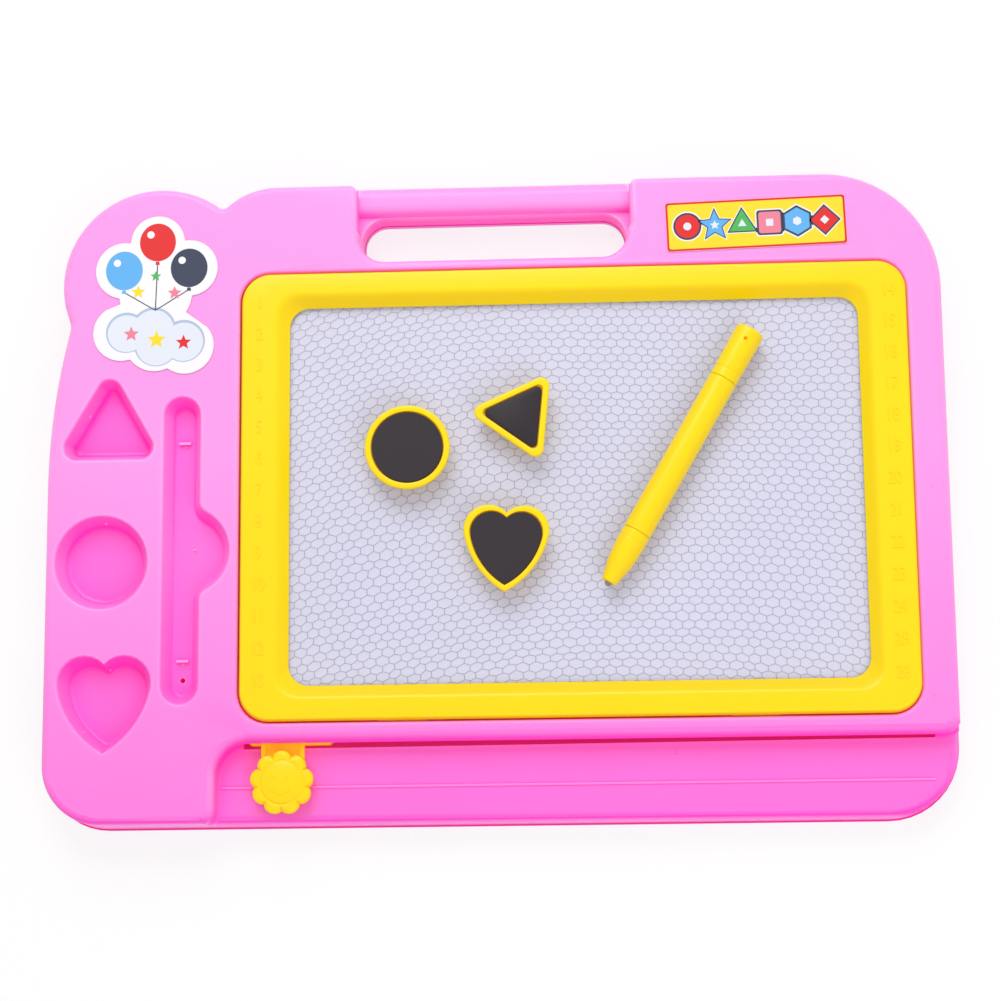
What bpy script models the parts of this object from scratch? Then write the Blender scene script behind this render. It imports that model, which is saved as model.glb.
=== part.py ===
"""Magnetic drawing board: a moulded two-shell case that holds a honeycomb screen under a snap-in frame,
an eraser bar that slides behind the screen, a magnetic pen and three magnetic stamps.

Lengths are in metres. X runs along the board, Y towards the handle and Z up from the face it rests on.
The origin is the centre of the resting face. The left end holds the wells and the pen tray.
"""

import math

import bmesh
import bpy

# Overall case
panel_length = 0.0827
deck_height = 0.024
wall = 0.002
base_flare = 0.001
deck_round = 0.003
parting_height = 0.003
overrun = 0.004
seat_gap = 0.0003

# Case outline
lower_left_radius = 0.025
lower_right_radius = 0.0285
upper_right_radius = 0.0493
ear_radius = 0.0418
ear_inset = 0.0049
shoulder_radius = 0.032
ear_to_shoulder = 0.050
top_notch_radius = 0.0025
side_notch_radius = 0.008
side_sweep_radius = 0.290
side_sweep_start_share = 0.52

# Screen frame
frame_length = 0.280
frame_depth = 0.1894
frame_height = 0.025
frame_right_border = 0.0153
frame_top_border = 0.0394
frame_bottom_border = 0.0421
frame_corner_radius = 0.012
frame_edge_round = 0.0009
frame_band_x = 0.0136
frame_band_y = 0.0081
frame_brow = 0.0012
frame_slope_run = 0.0041
frame_slope_drop = 0.0035
frame_lip_radius = 0.0085
frame_lip_round = 0.0008
frame_lip_height = 0.0007
frame_skin = 0.0017
frame_side_wall = 0.002
frame_clearance = 0.0009
frame_shift_x = 0.0003
frame_shift_y = 0.00035

# Frame snaps
snap_spacing_share = 0.5207
snap_width = 0.0194
snap_notch_width = 0.0346
snap_proud = 0.0008
snap_thickness = 0.002
snap_shoulder_drop = 0.004
snap_hook_reach = 0.0036
snap_hook_height = 0.0009
snap_hook_lead = 0.0006
snap_catch = 0.001
snap_gap = 0.0004
snap_notch_depth = 0.0006

# Screen laminate and the ledge under it
sheet_thickness = 0.0005
core_thickness = 0.002
laminate_margin = 0.004
laminate_radius = 0.006
seal_width = 0.0018
ledge_width_x = 0.010
ledge_width_y = 0.0107
window_radius = 0.0022
recess_rim_round = 0.0015

# Shelf, rail and slot
shelf_height = 0.014
shelf_edge_round = 0.003
shelf_foot_round = 0.002
rail_width = 0.008
rail_round = 0.004
block_width = 0.0722
shelf_corner_radius = 0.014
block_corner_radius = 0.008
strip_corner_radius = 0.009
strip_corner_reach = 0.0015
slot_start_gap = 0.0016
slot_run_gap = 0.0036
slot_opening = 0.0021
slot_end_opening = 0.001
slot_height = 0.004
ridge_from_front = 0.0149
ridge_width = 0.0009
ridge_height = 0.0005
ridge_end_gap = 0.010

# Handle
handle_length = 0.1146
handle_opening_depth = 0.0219
handle_from_top = 0.0123
handle_center_x = 0.0004
handle_rim_round = 0.0025
handle_draft = 0.001
handle_drop = 0.006
handle_bar_round = 0.0045
saddle_length = 0.1165
saddle_center_x = 0.00065
saddle_corner_radius = 0.004
saddle_round = 0.003
saddle_reach = 0.012

# Wells for the stamps
well_depth = 0.010
well_slope = 0.0025
well_rim_round = 0.0012
well_foot_round = 0.002
circle_well_radius = 0.0193
circle_well_from_left = 0.0237
circle_well_from_top_share = 0.598
triangle_well_side = 0.0453
triangle_well_corner = 0.0052
triangle_well_from_left = 0.026
triangle_well_from_top_share = 0.3872
heart_well_width = 0.0389
heart_well_from_left = 0.0258
heart_well_from_top_share = 0.8147

# Heart proportions, as shares of half its width
heart_lobe_offset_share = 0.42
heart_lobe_radius_share = 0.58
heart_side_angle_share = 12 / 90
heart_top_share = 0.98
heart_tip_share = 1.06

# Pen tray
tray_width = 0.0152
tray_length_share = 0.478
tray_from_left = 0.0573
tray_from_top_share = 0.34
tray_depth = 0.009
tray_slope = 0.0028
tray_rim_round = 0.0012
tray_foot_round = 0.0015
scoop_radius = 0.0181
scoop_offset_x = 0.0021
scoop_from_top_share = 0.5821
scoop_neck_radius = 0.005
clip_rib_length = 0.005
clip_rib_width = 0.0011
clip_rib_height = 0.0016
clip_rib_from_end = 0.0184
tray_hole_radius = 0.0011
tray_hole_from_end = 0.0104

# Back case and its screws
back_lip = 0.0008
back_floor = 0.002
back_edge_round = 0.0012
nest_clearance = 0.0004
nest_height = 0.007
nest_wall = 0.0016
collar_clearance = 0.0004
runner_spread_share = 0.3168
runner_end_gap = 0.006
runner_width = 0.0016
guide_from_frame = 0.0072
guide_height = 0.0098
boss_radius = 0.0035
boss_bottom = 0.0058
pilot_radius = 0.0016
pilot_top = 0.0115
post_radius = 0.0045
post_top = 0.0055
counterbore_radius = 0.0032
counterbore_depth = 0.003
clearance_hole_radius = 0.0017
screw_head_radius = 0.0028
screw_head_height = 0.0018
screw_shank_radius = 0.0013
screw_length = 0.0075
screw_point_length = 0.001
screw_slot_round = 0.0005
screw_place_shares = (
    (-0.806, 0.852),
    (-0.430, 0.852),
    (0.358, 0.852),
    (0.866, 0.822),
    (0.961, 0.0),
    (0.908, -0.891),
    (0.178, -0.891),
    (-0.800, -0.891),
    (-0.869, 0.0395),
)

# Eraser
eraser_end_gap = 0.0017
bar_from_screen_left = 0.01715
bar_width = 0.014
bar_skin = 0.0014
bar_wall = 0.0016
holder_wall = 0.0015
holder_drop = 0.0013
holder_from_frame = 0.0127
eraser_magnet_width = 0.008
eraser_magnet_end_gap = 0.0005
shoe_length = 0.030
shoe_depth = 0.008
shoe_slot_gap = 0.0004
foot_length = 0.0363
foot_offset = 0.0029
foot_chamfer = 0.002
foot_gap = 0.0003
arm_width = 0.0179
arm_thickness = 0.0012
arm_rib_width = 0.0018
arm_rib_height = 0.0014
arm_end_from_knob = 0.0085

# Knob
knob_from_front = 0.0166
knob_petals = 9
knob_tip_radius = 0.0132
knob_notch_radius = 0.0111
petal_round_share = 0.6
petal_points = 8
knob_edge_round = 0.0012
knob_thickness = 0.0042
knob_dome_radius = 0.0092
knob_dome_height = 0.0011
knob_groove_width = 0.0008
knob_groove_depth = 0.0004
knob_hollow_radius = 0.0086
knob_skin = 0.0016
knob_socket_radius = 0.0046
knob_post_radius = 0.003
knob_post_gap = 0.0003
knob_web_gap = 0.0003

# Stamps
stamp_height = 0.010
stamp_taper = 0.0023
stamp_edge_round = 0.0008
stamp_foot_round = 0.0004
stamp_rim = 0.0026
stamp_pocket_depth = 0.0022
stamp_wall = 0.0015
stamp_skin = 0.0016
stamp_magnet_gap = 0.0003
stamp_magnet_sink = 0.0002
circle_stamp_radius = 0.01785
triangle_stamp_side = 0.0391
triangle_stamp_corner = 0.0035
triangle_stamp_turn = 84
heart_stamp_width = 0.0357
heart_stamp_turn = -2.5
circle_stamp_place_shares = (-0.249, 0.188)
triangle_stamp_place_shares = (-0.0807, 0.321)
heart_stamp_place_shares = (-0.1036, -0.263)

# Pen
pen_radius = 0.0060
pen_end_radius = 0.0062
pen_length = 0.124
pen_nose_length = 0.0263
pen_cap_length = 0.0245
pen_nose_end_radius = 0.0031
pen_nose_start = 0.0016
pen_tip_radius = 0.0015
pen_tip_depth = 0.012
pen_bore_radius = 0.0042
pen_spigot_gap = 0.0004
pen_spigot_length = 0.008
pen_groove_depth = 0.0003
pen_groove_width = 0.0008
pen_groove_from_joint = 0.0040
pen_end_round = 0.0015
pen_string_hole_radius = 0.0008
pen_string_hole_from_end = 0.0055
pen_heading = 59.7
pen_tip_across_share = 0.0439
pen_end_from_frame = 0.02924066
nose_station_shares = (0.18, 0.37, 0.57, 0.79, 1.0)
nose_radius_shares = (0.36, 0.72, 0.87, 0.97, 1.0)

# Stickers
sticker_thickness = 0.0003
title_length = 0.076
title_depth = 0.0215
title_radius = 0.001
title_turn = 1.6
title_from_right = 0.0769
title_from_top = 0.0218
corner_sticker_from_left = 0.0453
corner_sticker_from_top = 0.0465
corner_sticker_half_height = 0.034
corner_disc_shares = (
    (0.02, 0.66, 0.34),
    (-0.40, 0.30, 0.36),
    (0.42, 0.32, 0.36),
    (0.0, 0.0, 0.46),
    (-0.42, -0.50, 0.36),
    (0.0, -0.62, 0.38),
    (0.38, -0.68, 0.36),
)

# Smoothness
arc_step = 9.0
fine_arc_step = 15.0
round_steps = 3
turned_steps = 20
small_turned_steps = 12
cluster_points = 60

# Places worked out from the sizes above
board_length = panel_length + frame_length + frame_right_border
board_depth = frame_top_border + frame_depth + frame_bottom_border
left = -board_length / 2
right = board_length / 2
bottom = -board_depth / 2
top = board_depth / 2
screen_x = right - frame_right_border - frame_length / 2
screen_y = top - frame_top_border - frame_depth / 2
frame_lip_bottom = frame_height - frame_brow / 2 - frame_slope_drop - frame_lip_round - frame_lip_height
screen_top = frame_lip_bottom - seat_gap
core_top = screen_top - sheet_thickness - seat_gap
core_bottom = core_top - core_thickness
back_sheet_bottom = core_bottom - seat_gap - sheet_thickness
ledge_top = back_sheet_bottom - seat_gap
ledge_bottom = ledge_top - wall
recess_y = screen_y - frame_shift_y
recess_x = screen_x - frame_shift_x
recess_half_x = frame_length / 2 + frame_clearance
recess_half_y = frame_depth / 2 + frame_clearance
window_half_x = frame_length / 2 - ledge_width_x
window_half_y = frame_depth / 2 - ledge_width_y
rail_front = recess_y - recess_half_y - rail_width
shelf_back = rail_front - slot_opening
block_wall_x = left + block_width
knob_x = screen_x - frame_length / 2 + bar_from_screen_left
knob_y = bottom + knob_from_front
bar_bottom = nest_height + seat_gap + runner_width / 2
bar_top = ledge_bottom - snap_gap - snap_hook_height - snap_hook_lead - seat_gap
holder_top = back_sheet_bottom - holder_drop
holder_half_length = frame_depth / 2 - holder_from_frame
eraser_magnet_half_length = holder_half_length - eraser_magnet_end_gap
eraser_travel = frame_length - 2 * bar_from_screen_left - eraser_end_gap
runner_length = eraser_travel + shoe_length - runner_end_gap
runner_from_screen = runner_spread_share * frame_depth
guide_from_screen = frame_depth / 2 - guide_from_frame
snap_spacing = snap_spacing_share * frame_length
tray_length = tray_length_share * board_depth
tray_from_top = tray_from_top_share * board_depth
arm_bottom = shelf_height + ridge_height + seat_gap
arm_top = arm_bottom + arm_thickness
rib_top = arm_top + arm_rib_height
knob_bottom = rib_top + seat_gap

parts = bpy.data.collections.new("magnetic_drawing_board")
cutters = bpy.data.collections.new("cutters")


def clear_scene():
    """Removes every object, so that the model starts from nothing."""
    for old in list(bpy.data.objects):
        bpy.data.objects.remove(old, do_unlink=True)
    bpy.context.scene.collection.children.link(parts)
    bpy.context.scene.collection.children.link(cutters)
    cutters.hide_render = True


def plastic(name, colour, roughness, metallic=0.0, transmission=0.0):
    """A Principled BSDF material."""
    material = bpy.data.materials.new(name)
    material.use_nodes = True
    shader = material.node_tree.nodes["Principled BSDF"]
    shader.inputs["Base Color"].default_value = (*colour, 1.0)
    shader.inputs["Roughness"].default_value = roughness
    shader.inputs["Metallic"].default_value = metallic
    shader.inputs["Transmission Weight"].default_value = transmission
    material.diffuse_color = (*colour, 1.0)
    return material


def place(name, mesh, material=None):
    """Adds a mesh as a sub-part with its material or, without one, as a hidden cutter."""
    obj = bpy.data.objects.new(name, mesh)
    if material is None:
        cutters.objects.link(obj)
        obj.hide_render = True
        obj.display_type = "WIRE"
    else:
        parts.objects.link(obj)
        mesh.materials.append(material)
        mesh.shade_smooth()
        mesh.set_sharp_from_angle(angle=math.radians(32))
    return obj


def combine(target, other, operation):
    """Cuts, joins or intersects the target with another object."""
    modifier = target.modifiers.new(operation.lower() + "_" + other.name, "BOOLEAN")
    modifier.operation = operation
    modifier.solver = "EXACT"
    modifier.object = other


def cut(target, *others):
    """Cuts each of the other objects out of the target."""
    for other in others:
        combine(target, other, "DIFFERENCE")


def join(target, *others):
    """Joins each of the other objects to the target."""
    for other in others:
        combine(target, other, "UNION")


# Outlines


def arc(center, radius, start, end, step=arc_step):
    """Points on an arc, with angles in degrees, counter-clockwise when end is greater."""
    count = max(2, math.ceil(abs(end - start) / step))
    points = []
    for k in range(count + 1):
        angle = math.radians(start + (end - start) * k / count)
        points.append((center[0] + radius * math.cos(angle), center[1] + radius * math.sin(angle)))
    return points


def bearing(origin, target):
    """Direction from one point to another, in degrees from 0 to 360."""
    return math.degrees(math.atan2(target[1] - origin[1], target[0] - origin[0])) % 360


def circles_meet(first, first_radius, second, second_radius, side):
    """The point where two circles cross, on the left (1) or right (-1) of the way from first to second."""
    gap_x = second[0] - first[0]
    gap_y = second[1] - first[1]
    gap = math.hypot(gap_x, gap_y)
    along = (first_radius**2 - second_radius**2 + gap**2) / (2 * gap)
    across = side * math.sqrt(first_radius**2 - along**2)
    x = first[0] + (along * gap_x - across * gap_y) / gap
    y = first[1] + (along * gap_y + across * gap_x) / gap
    return (x, y)


def board_outline(grow):
    """Plan of the case: three round corners, the shoulder, the round ear and the swept left side."""
    ear = (left + ear_inset + ear_radius, top - ear_radius)
    shoulder = (ear[0] + ear_to_shoulder, top - shoulder_radius)
    sweep = (left + side_sweep_radius, bottom + side_sweep_start_share * board_depth)
    top_notch = circles_meet(
        ear, ear_radius + top_notch_radius, shoulder, shoulder_radius + top_notch_radius, 1
    )
    side_notch = circles_meet(
        sweep, side_sweep_radius + side_notch_radius, ear, ear_radius + side_notch_radius, 1
    )
    lower_left = (left + lower_left_radius, bottom + lower_left_radius)
    lower_right = (right - lower_right_radius, bottom + lower_right_radius)
    upper_right = (right - upper_right_radius, top - upper_right_radius)
    points = arc(lower_left, lower_left_radius + grow, 180, 270)
    points += arc(lower_right, lower_right_radius + grow, 270, 360)
    points += arc(upper_right, upper_right_radius + grow, 0, 90)
    points += arc(shoulder, shoulder_radius + grow, 90, bearing(shoulder, top_notch))
    points += arc(
        top_notch,
        top_notch_radius - grow,
        bearing(top_notch, shoulder),
        bearing(top_notch, ear),
        2 * fine_arc_step,
    )
    points += arc(ear, ear_radius + grow, bearing(ear, top_notch), bearing(ear, side_notch))
    points += arc(
        side_notch,
        side_notch_radius - grow,
        bearing(side_notch, ear),
        bearing(side_notch, sweep) - 360,
    )
    points += arc(sweep, side_sweep_radius + grow, bearing(sweep, side_notch), 180)
    return points


def rounded_rectangle(center, half_x, half_y, radius, step=arc_step):
    """A rectangle with round corners."""
    points = []
    corners = ((1, -1, 270), (1, 1, 0), (-1, 1, 90), (-1, -1, 180))
    for side_x, side_y, start in corners:
        corner = (center[0] + side_x * (half_x - radius), center[1] + side_y * (half_y - radius))
        points += arc(corner, radius, start, start + 90, step)
    return points


def rounded_outline(center, half_x, half_y, radius, step=arc_step):
    """The outline function of a round-cornered rectangle."""
    return lambda grow: rounded_rectangle(center, half_x + grow, half_y + grow, radius + grow, step)


def circle_outline(center, radius, step=arc_step):
    """The outline function of a circle."""
    return lambda grow: arc(center, radius + grow, 0, 360, step)[:-1]


def triangle_outline(center, side, corner, turn):
    """The outline function of an equal-sided triangle with round corners, its first one at turn degrees."""
    inner_radius = side / (2 * math.sqrt(3))

    def outline(grow):
        radius = max(corner + grow, corner / 4)
        reach = 2 * (inner_radius + grow - radius)
        points = []
        for k in range(3):
            angle = turn + 90 + 120 * k
            corner_center = (
                center[0] + reach * math.cos(math.radians(angle)),
                center[1] + reach * math.sin(math.radians(angle)),
            )
            points += arc(corner_center, radius, angle - 60, angle + 60, fine_arc_step)
        return points

    return outline


def heart_outline(center, width, turn):
    """The outline function of a heart: two lobes and two long sides that meet in a point."""

    def outline(grow):
        half = width / 2 + grow
        lobe = (half * heart_lobe_offset_share, half * (heart_top_share - heart_lobe_radius_share))
        lobe_radius = half * heart_lobe_radius_share
        lean = 90 * heart_side_angle_share
        direction = (math.cos(math.radians(lean)), -math.sin(math.radians(lean)))
        tip = (-lobe[0], -half * heart_tip_share - lobe[1])
        extra = (tip[0] ** 2 + tip[1] ** 2 - lobe_radius**2) / (
            2 * (lobe_radius - tip[0] * direction[0] - tip[1] * direction[1])
        )
        side = (lobe[0] - extra * direction[0], lobe[1] - extra * direction[1])
        side_radius = lobe_radius + extra
        tip_angle = -math.degrees(math.acos(-side[0] / side_radius))
        notch_angle = 180 - math.degrees(math.acos(lobe[0] / lobe_radius))
        half_points = arc(side, side_radius, tip_angle, -lean, fine_arc_step / 2)[:-1]
        half_points += arc(lobe, lobe_radius, -lean, notch_angle, fine_arc_step)
        mirrored = [(-x, y) for x, y in reversed(half_points)]
        cos_turn = math.cos(math.radians(turn))
        sin_turn = math.sin(math.radians(turn))
        return [
            (center[0] + x * cos_turn - y * sin_turn, center[1] + x * sin_turn + y * cos_turn)
            for x, y in half_points + mirrored[1:-1]
        ]

    return outline


def tray_outline(grow):
    """Plan of the pen tray: a long round-ended trough with a finger scoop on its right."""
    radius = tray_width / 2
    x = left + tray_from_left
    center_y = top - tray_from_top - tray_length / 2
    low = (x, center_y - tray_length / 2 + radius)
    high = (x, center_y + tray_length / 2 - radius)
    scoop = (x + scoop_offset_x, top - scoop_from_top_share * board_depth)
    neck_x = x + radius + scoop_neck_radius
    neck_gap = math.sqrt((scoop_radius + scoop_neck_radius) ** 2 - (neck_x - scoop[0]) ** 2)
    low_neck = (neck_x, scoop[1] - neck_gap)
    high_neck = (neck_x, scoop[1] + neck_gap)
    points = arc(low, radius + grow, 180, 360, fine_arc_step)
    points += arc(
        low_neck, scoop_neck_radius - grow, 180, bearing(low_neck, scoop), fine_arc_step
    )
    points += arc(
        scoop, scoop_radius + grow, bearing(scoop, low_neck) - 360, bearing(scoop, high_neck)
    )
    points += arc(
        high_neck, scoop_neck_radius - grow, bearing(high_neck, scoop), 180, fine_arc_step
    )
    points += arc(high, radius + grow, 0, 180, fine_arc_step)
    return points


def shelf_outline(grow):
    """Plan of the space above the shelf, which runs past the front and right of the case."""
    reach = 2 * overrun
    strip_corner = (
        right + strip_corner_reach - strip_corner_radius,
        rail_front + strip_corner_radius,
    )
    inner_corner = (block_wall_x + shelf_corner_radius, rail_front - shelf_corner_radius)
    block_corner = (
        block_wall_x - block_corner_radius,
        bottom - strip_corner_reach + block_corner_radius,
    )
    points = [(block_corner[0], bottom - reach), (right + reach, bottom - reach)]
    points += [(right + reach, strip_corner[1])]
    points += arc(strip_corner, strip_corner_radius - grow, 0, -90, fine_arc_step)
    points += arc(inner_corner, shelf_corner_radius + grow, 90, 180)
    points += arc(block_corner, block_corner_radius - grow, 0, -90, fine_arc_step)
    return points


def handle_outline(grow):
    """Plan of the hand hole."""
    center = (handle_center_x, top - handle_from_top - handle_opening_depth / 2)
    half_y = handle_opening_depth / 2 + grow
    return rounded_rectangle(center, handle_length / 2 + grow, half_y, half_y)


def saddle_outline(grow):
    """Plan of the space above the lowered handle bar, which runs past the top edge of the case."""
    low = top - handle_from_top - handle_opening_depth / 2
    high = top + saddle_reach
    center = (saddle_center_x, (low + high) / 2)
    half_y = (high - low) / 2 + grow
    return rounded_rectangle(center, saddle_length / 2 + grow, half_y, saddle_corner_radius + grow)


def flower_outline(grow):
    """Plan of the knob: round petals, one of them pointing up the board."""
    points = []
    per_turn = knob_petals * petal_points
    for k in range(per_turn):
        angle = math.radians(90 + 360 * k / per_turn)
        bulge = abs(math.cos(knob_petals * (angle - math.radians(90)) / 2)) ** petal_round_share
        radius = knob_notch_radius + (knob_tip_radius - knob_notch_radius) * bulge + grow
        points.append((knob_x + radius * math.cos(angle), knob_y + radius * math.sin(angle)))
    return points


def cluster_outline(center, discs):
    """The outer edge of overlapping discs, seen from the middle of them all."""
    points = []
    for k in range(cluster_points):
        angle = 2 * math.pi * k / cluster_points
        ray = (math.cos(angle), math.sin(angle))
        hits = []
        for x, y, radius in discs:
            along = x * ray[0] + y * ray[1]
            miss = x * ray[1] - y * ray[0]
            if abs(miss) < radius:
                hits.append(along + math.sqrt(radius**2 - miss**2))
        points.append((center[0] + max(hits) * ray[0], center[1] + max(hits) * ray[1]))
    return points


# Solids


def loft(name, rings, material=None, closed=False):
    """A solid through rings with the same number of points: capped at its ends or, if closed, joined round."""
    bm = bmesh.new()
    loops = [[bm.verts.new(point) for point in ring] for ring in rings]
    pairs = list(zip(loops, loops[1:]))
    if closed:
        pairs.append((loops[-1], loops[0]))
    else:
        bm.faces.new(loops[0])
        bm.faces.new(loops[-1])
    for lower, upper in pairs:
        for k in range(len(lower)):
            bm.faces.new((lower[k - 1], lower[k], upper[k], upper[k - 1]))
    bmesh.ops.recalc_face_normals(bm, faces=bm.faces)
    mesh = bpy.data.meshes.new(name)
    bm.to_mesh(mesh)
    bm.free()
    return place(name, mesh, material)


def stack(name, outline, levels, material=None):
    """A solid whose plan is an outline, grown or shrunk at each (height, grow) level."""
    rings = [[(x, y, height) for x, y in outline(grow)] for height, grow in levels]
    return loft(name, rings, material)


def round_top(height, grow, radius, outward):
    """Levels of a quarter round from a wall up to a flat top, leaning outward (1) or inward (-1)."""
    levels = []
    for k in range(1, round_steps + 1):
        angle = math.pi / 2 * k / round_steps
        levels.append(
            (height + radius * math.sin(angle), grow + outward * radius * (1 - math.cos(angle)))
        )
    return levels


def round_foot(height, grow, radius):
    """Levels of a quarter round from a floor out and up to a wall."""
    levels = []
    for k in range(round_steps + 1):
        angle = math.pi / 2 * k / round_steps
        levels.append((height + radius * (1 - math.cos(angle)), grow - radius * (1 - math.sin(angle))))
    return levels


def pocket(name, outline, floor, slope, rim, foot):
    """The space of a moulded pocket that opens at the deck, with a sloped wall and round rim and foot."""
    levels = round_foot(floor, -slope, foot)
    levels.append((deck_height - rim, 0))
    levels += round_top(deck_height - rim, 0, rim, 1)
    levels.append((deck_height + overrun, rim))
    return stack(name, outline, levels)


def pocket_shell(name, outline, floor, slope):
    """The same space grown by the wall, which the hollow of the case leaves free."""
    levels = [
        (floor - wall, wall - slope),
        (deck_height - wall, wall),
        (deck_height + overrun, wall),
    ]
    return stack(name, outline, levels)


def boxes(name, spans, material=None):
    """One mesh of separate boxes, each given by its low and high corners."""
    bm = bmesh.new()
    for low, high in spans:
        made = bmesh.ops.create_cube(bm, size=1.0)["verts"]
        size = [high[k] - low[k] for k in range(3)]
        middle = [(high[k] + low[k]) / 2 for k in range(3)]
        bmesh.ops.scale(bm, vec=size, verts=made)
        bmesh.ops.translate(bm, vec=middle, verts=made)
    mesh = bpy.data.meshes.new(name)
    bm.to_mesh(mesh)
    bm.free()
    return place(name, mesh, material)


def posts(name, places, radius, low, high, steps=small_turned_steps):
    """One mesh of separate upright cylinders."""
    bm = bmesh.new()
    for x, y in places:
        made = bmesh.ops.create_cone(
            bm, cap_ends=True, segments=steps, radius1=radius, radius2=radius, depth=high - low
        )["verts"]
        bmesh.ops.translate(bm, vec=(x, y, (low + high) / 2), verts=made)
    mesh = bpy.data.meshes.new(name)
    bm.to_mesh(mesh)
    bm.free()
    return place(name, mesh)


def turned(name, profile, steps, material=None, closed=False):
    """A profile of (radius, height) points turned round Z, run top to bottom down its outer side."""
    bm = bmesh.new()
    verts = [bm.verts.new((radius, 0, height)) for radius, height in profile]
    for first, second in zip(verts, verts[1:]):
        bm.edges.new((first, second))
    if closed:
        bm.edges.new((verts[-1], verts[0]))
    mesh = bpy.data.meshes.new(name)
    bm.to_mesh(mesh)
    bm.free()
    obj = place(name, mesh, material)
    screw = obj.modifiers.new("turn", "SCREW")
    screw.steps = steps
    screw.render_steps = steps
    screw.use_smooth_shade = True
    screw.use_merge_vertices = True
    screw.merge_threshold = 0.00001
    return obj


def shares_of_frame(shares):
    """A place on the screen, from shares of half the frame's length and depth."""
    return (screen_x + shares[0] * frame_length, screen_y + shares[1] * frame_depth / 2)


# Wells, tray, handle, recess and shelf of the front case


def well_outlines():
    """The three wells, each with its outline function."""
    circle = (left + circle_well_from_left, top - circle_well_from_top_share * board_depth)
    triangle = (left + triangle_well_from_left, top - triangle_well_from_top_share * board_depth)
    heart = (left + heart_well_from_left, top - heart_well_from_top_share * board_depth)
    return (
        ("circle_well", circle_outline(circle, circle_well_radius)),
        ("triangle_well", triangle_outline(triangle, triangle_well_side, triangle_well_corner, 0)),
        ("heart_well", heart_outline(heart, heart_well_width, 0)),
    )


def handle_space(grow):
    """The space over the handle bar, less the half-round bar itself, grown to leave a wall."""
    low = deck_height - handle_drop - handle_bar_round - grow
    if grow:
        levels = [(low, grow), (deck_height + overrun, grow)]
    else:
        levels = [(low, 0), (deck_height - saddle_round, 0)]
        levels += round_top(deck_height - saddle_round, 0, saddle_round, 1)
        levels.append((deck_height + overrun, saddle_round))
    name = "saddle_shell" if grow else "saddle_space"
    space = stack(name, saddle_outline, levels)
    bar_low = top - handle_from_top + grow
    bar_high = top - grow
    grip_top = deck_height - handle_drop - grow
    radius = handle_bar_round - grow / 2
    section = [(bar_low, low - overrun), (bar_high, low - overrun)]
    section += arc((bar_high - radius, grip_top - radius), radius, 0, 90, fine_arc_step)
    section += arc((bar_low + radius, grip_top - radius), radius, 90, 180, fine_arc_step)
    half = saddle_length / 2 + overrun + grow
    rings = [[(saddle_center_x + side * half, y, z) for y, z in section] for side in (-1, 1)]
    cut(space, loft(name + "_bar", rings))
    return space


def shelf_space():
    """The space above the shelf, with the round front edge and the raised ridge left standing."""
    edge_low = shelf_height - shelf_edge_round
    levels = [(edge_low, -shelf_foot_round), (shelf_height, -shelf_foot_round)]
    levels += round_foot(shelf_height, 0, shelf_foot_round)[1:]
    levels.append((deck_height - rail_round, 0))
    levels += round_top(deck_height - rail_round, 0, rail_round, 1)
    levels.append((deck_height + overrun, rail_round))
    space = stack("shelf_space", shelf_outline, levels)
    margin = shelf_edge_round / 20
    core_levels = [(edge_low - overrun, margin), (edge_low, margin)]
    core_levels += round_top(edge_low, margin, shelf_edge_round, -1)
    cut(space, stack("shelf_core", board_outline, core_levels))
    ridge_y = bottom + ridge_from_front
    ridge = boxes(
        "shelf_ridge",
        [
            (
                (block_wall_x - wall, ridge_y - ridge_width / 2, shelf_height - ridge_height),
                (right - ridge_end_gap, ridge_y + ridge_width / 2, shelf_height + ridge_height),
            )
        ],
    )
    cut(space, ridge)
    return space


def shelf_shell():
    """The space above the shelf grown by the wall, which the hollow of the case leaves free."""
    low = shelf_height - wall
    return stack("shelf_shell", shelf_outline, [(low, wall), (deck_height + overrun, wall)])


def slot_space():
    """The slot under the rail, which narrows towards its right end."""
    low = shelf_height - wall - overrun
    high = shelf_height + slot_height
    foot_x = knob_x + foot_offset
    start_x = foot_x - foot_length / 2 - slot_start_gap
    end_x = foot_x + foot_length / 2 + eraser_travel + slot_run_gap
    inner_y = rail_front + wall + seat_gap
    plan = [
        (start_x, shelf_back),
        (end_x, rail_front - slot_end_opening),
        (end_x, inner_y),
        (start_x, inner_y),
    ]
    return loft("slot_space", [[(x, y, z) for x, y in plan] for z in (low, high)])


def snap_places():
    """Middle of each frame snap: along X, and the side of the frame that it is on."""
    return [(side_x * snap_spacing / 2, side_y) for side_x in (-1, 1) for side_y in (-1, 1)]


def snap_windows():
    """The windows in the ledge that the frame snaps pass through."""
    spans = []
    for x, side in snap_places():
        outer = recess_y + side * (recess_half_y + snap_notch_depth)
        hook_end = frame_depth / 2 + snap_proud - snap_thickness - snap_hook_reach
        inner = screen_y + side * (hook_end + snap_catch)
        low_z = ledge_bottom - overrun
        high_z = frame_height - snap_shoulder_drop + snap_gap
        low = (screen_x + x - snap_notch_width / 2, min(outer, inner), low_z)
        high = (screen_x + x + snap_notch_width / 2, max(outer, inner), high_z)
        spans.append((low, high))
    return boxes("snap_windows", spans)


def screw_places():
    """Where the case screws stand."""
    return [(x * board_length / 2, y * board_depth / 2) for x, y in screw_place_shares]


def case_hollow(shells):
    """The hollow of the front case, less the shells round its pockets and its screw bosses."""
    ceiling = deck_height - wall
    levels = [
        (-overrun, base_flare - wall),
        (parting_height, base_flare - wall),
        (ceiling, -wall),
    ]
    hollow = stack("case_hollow", board_outline, levels)
    cut(hollow, *shells)
    bosses = posts("boss_posts", screw_places(), boss_radius, boss_bottom, deck_height)
    cut(hollow, bosses)
    return hollow


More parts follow.
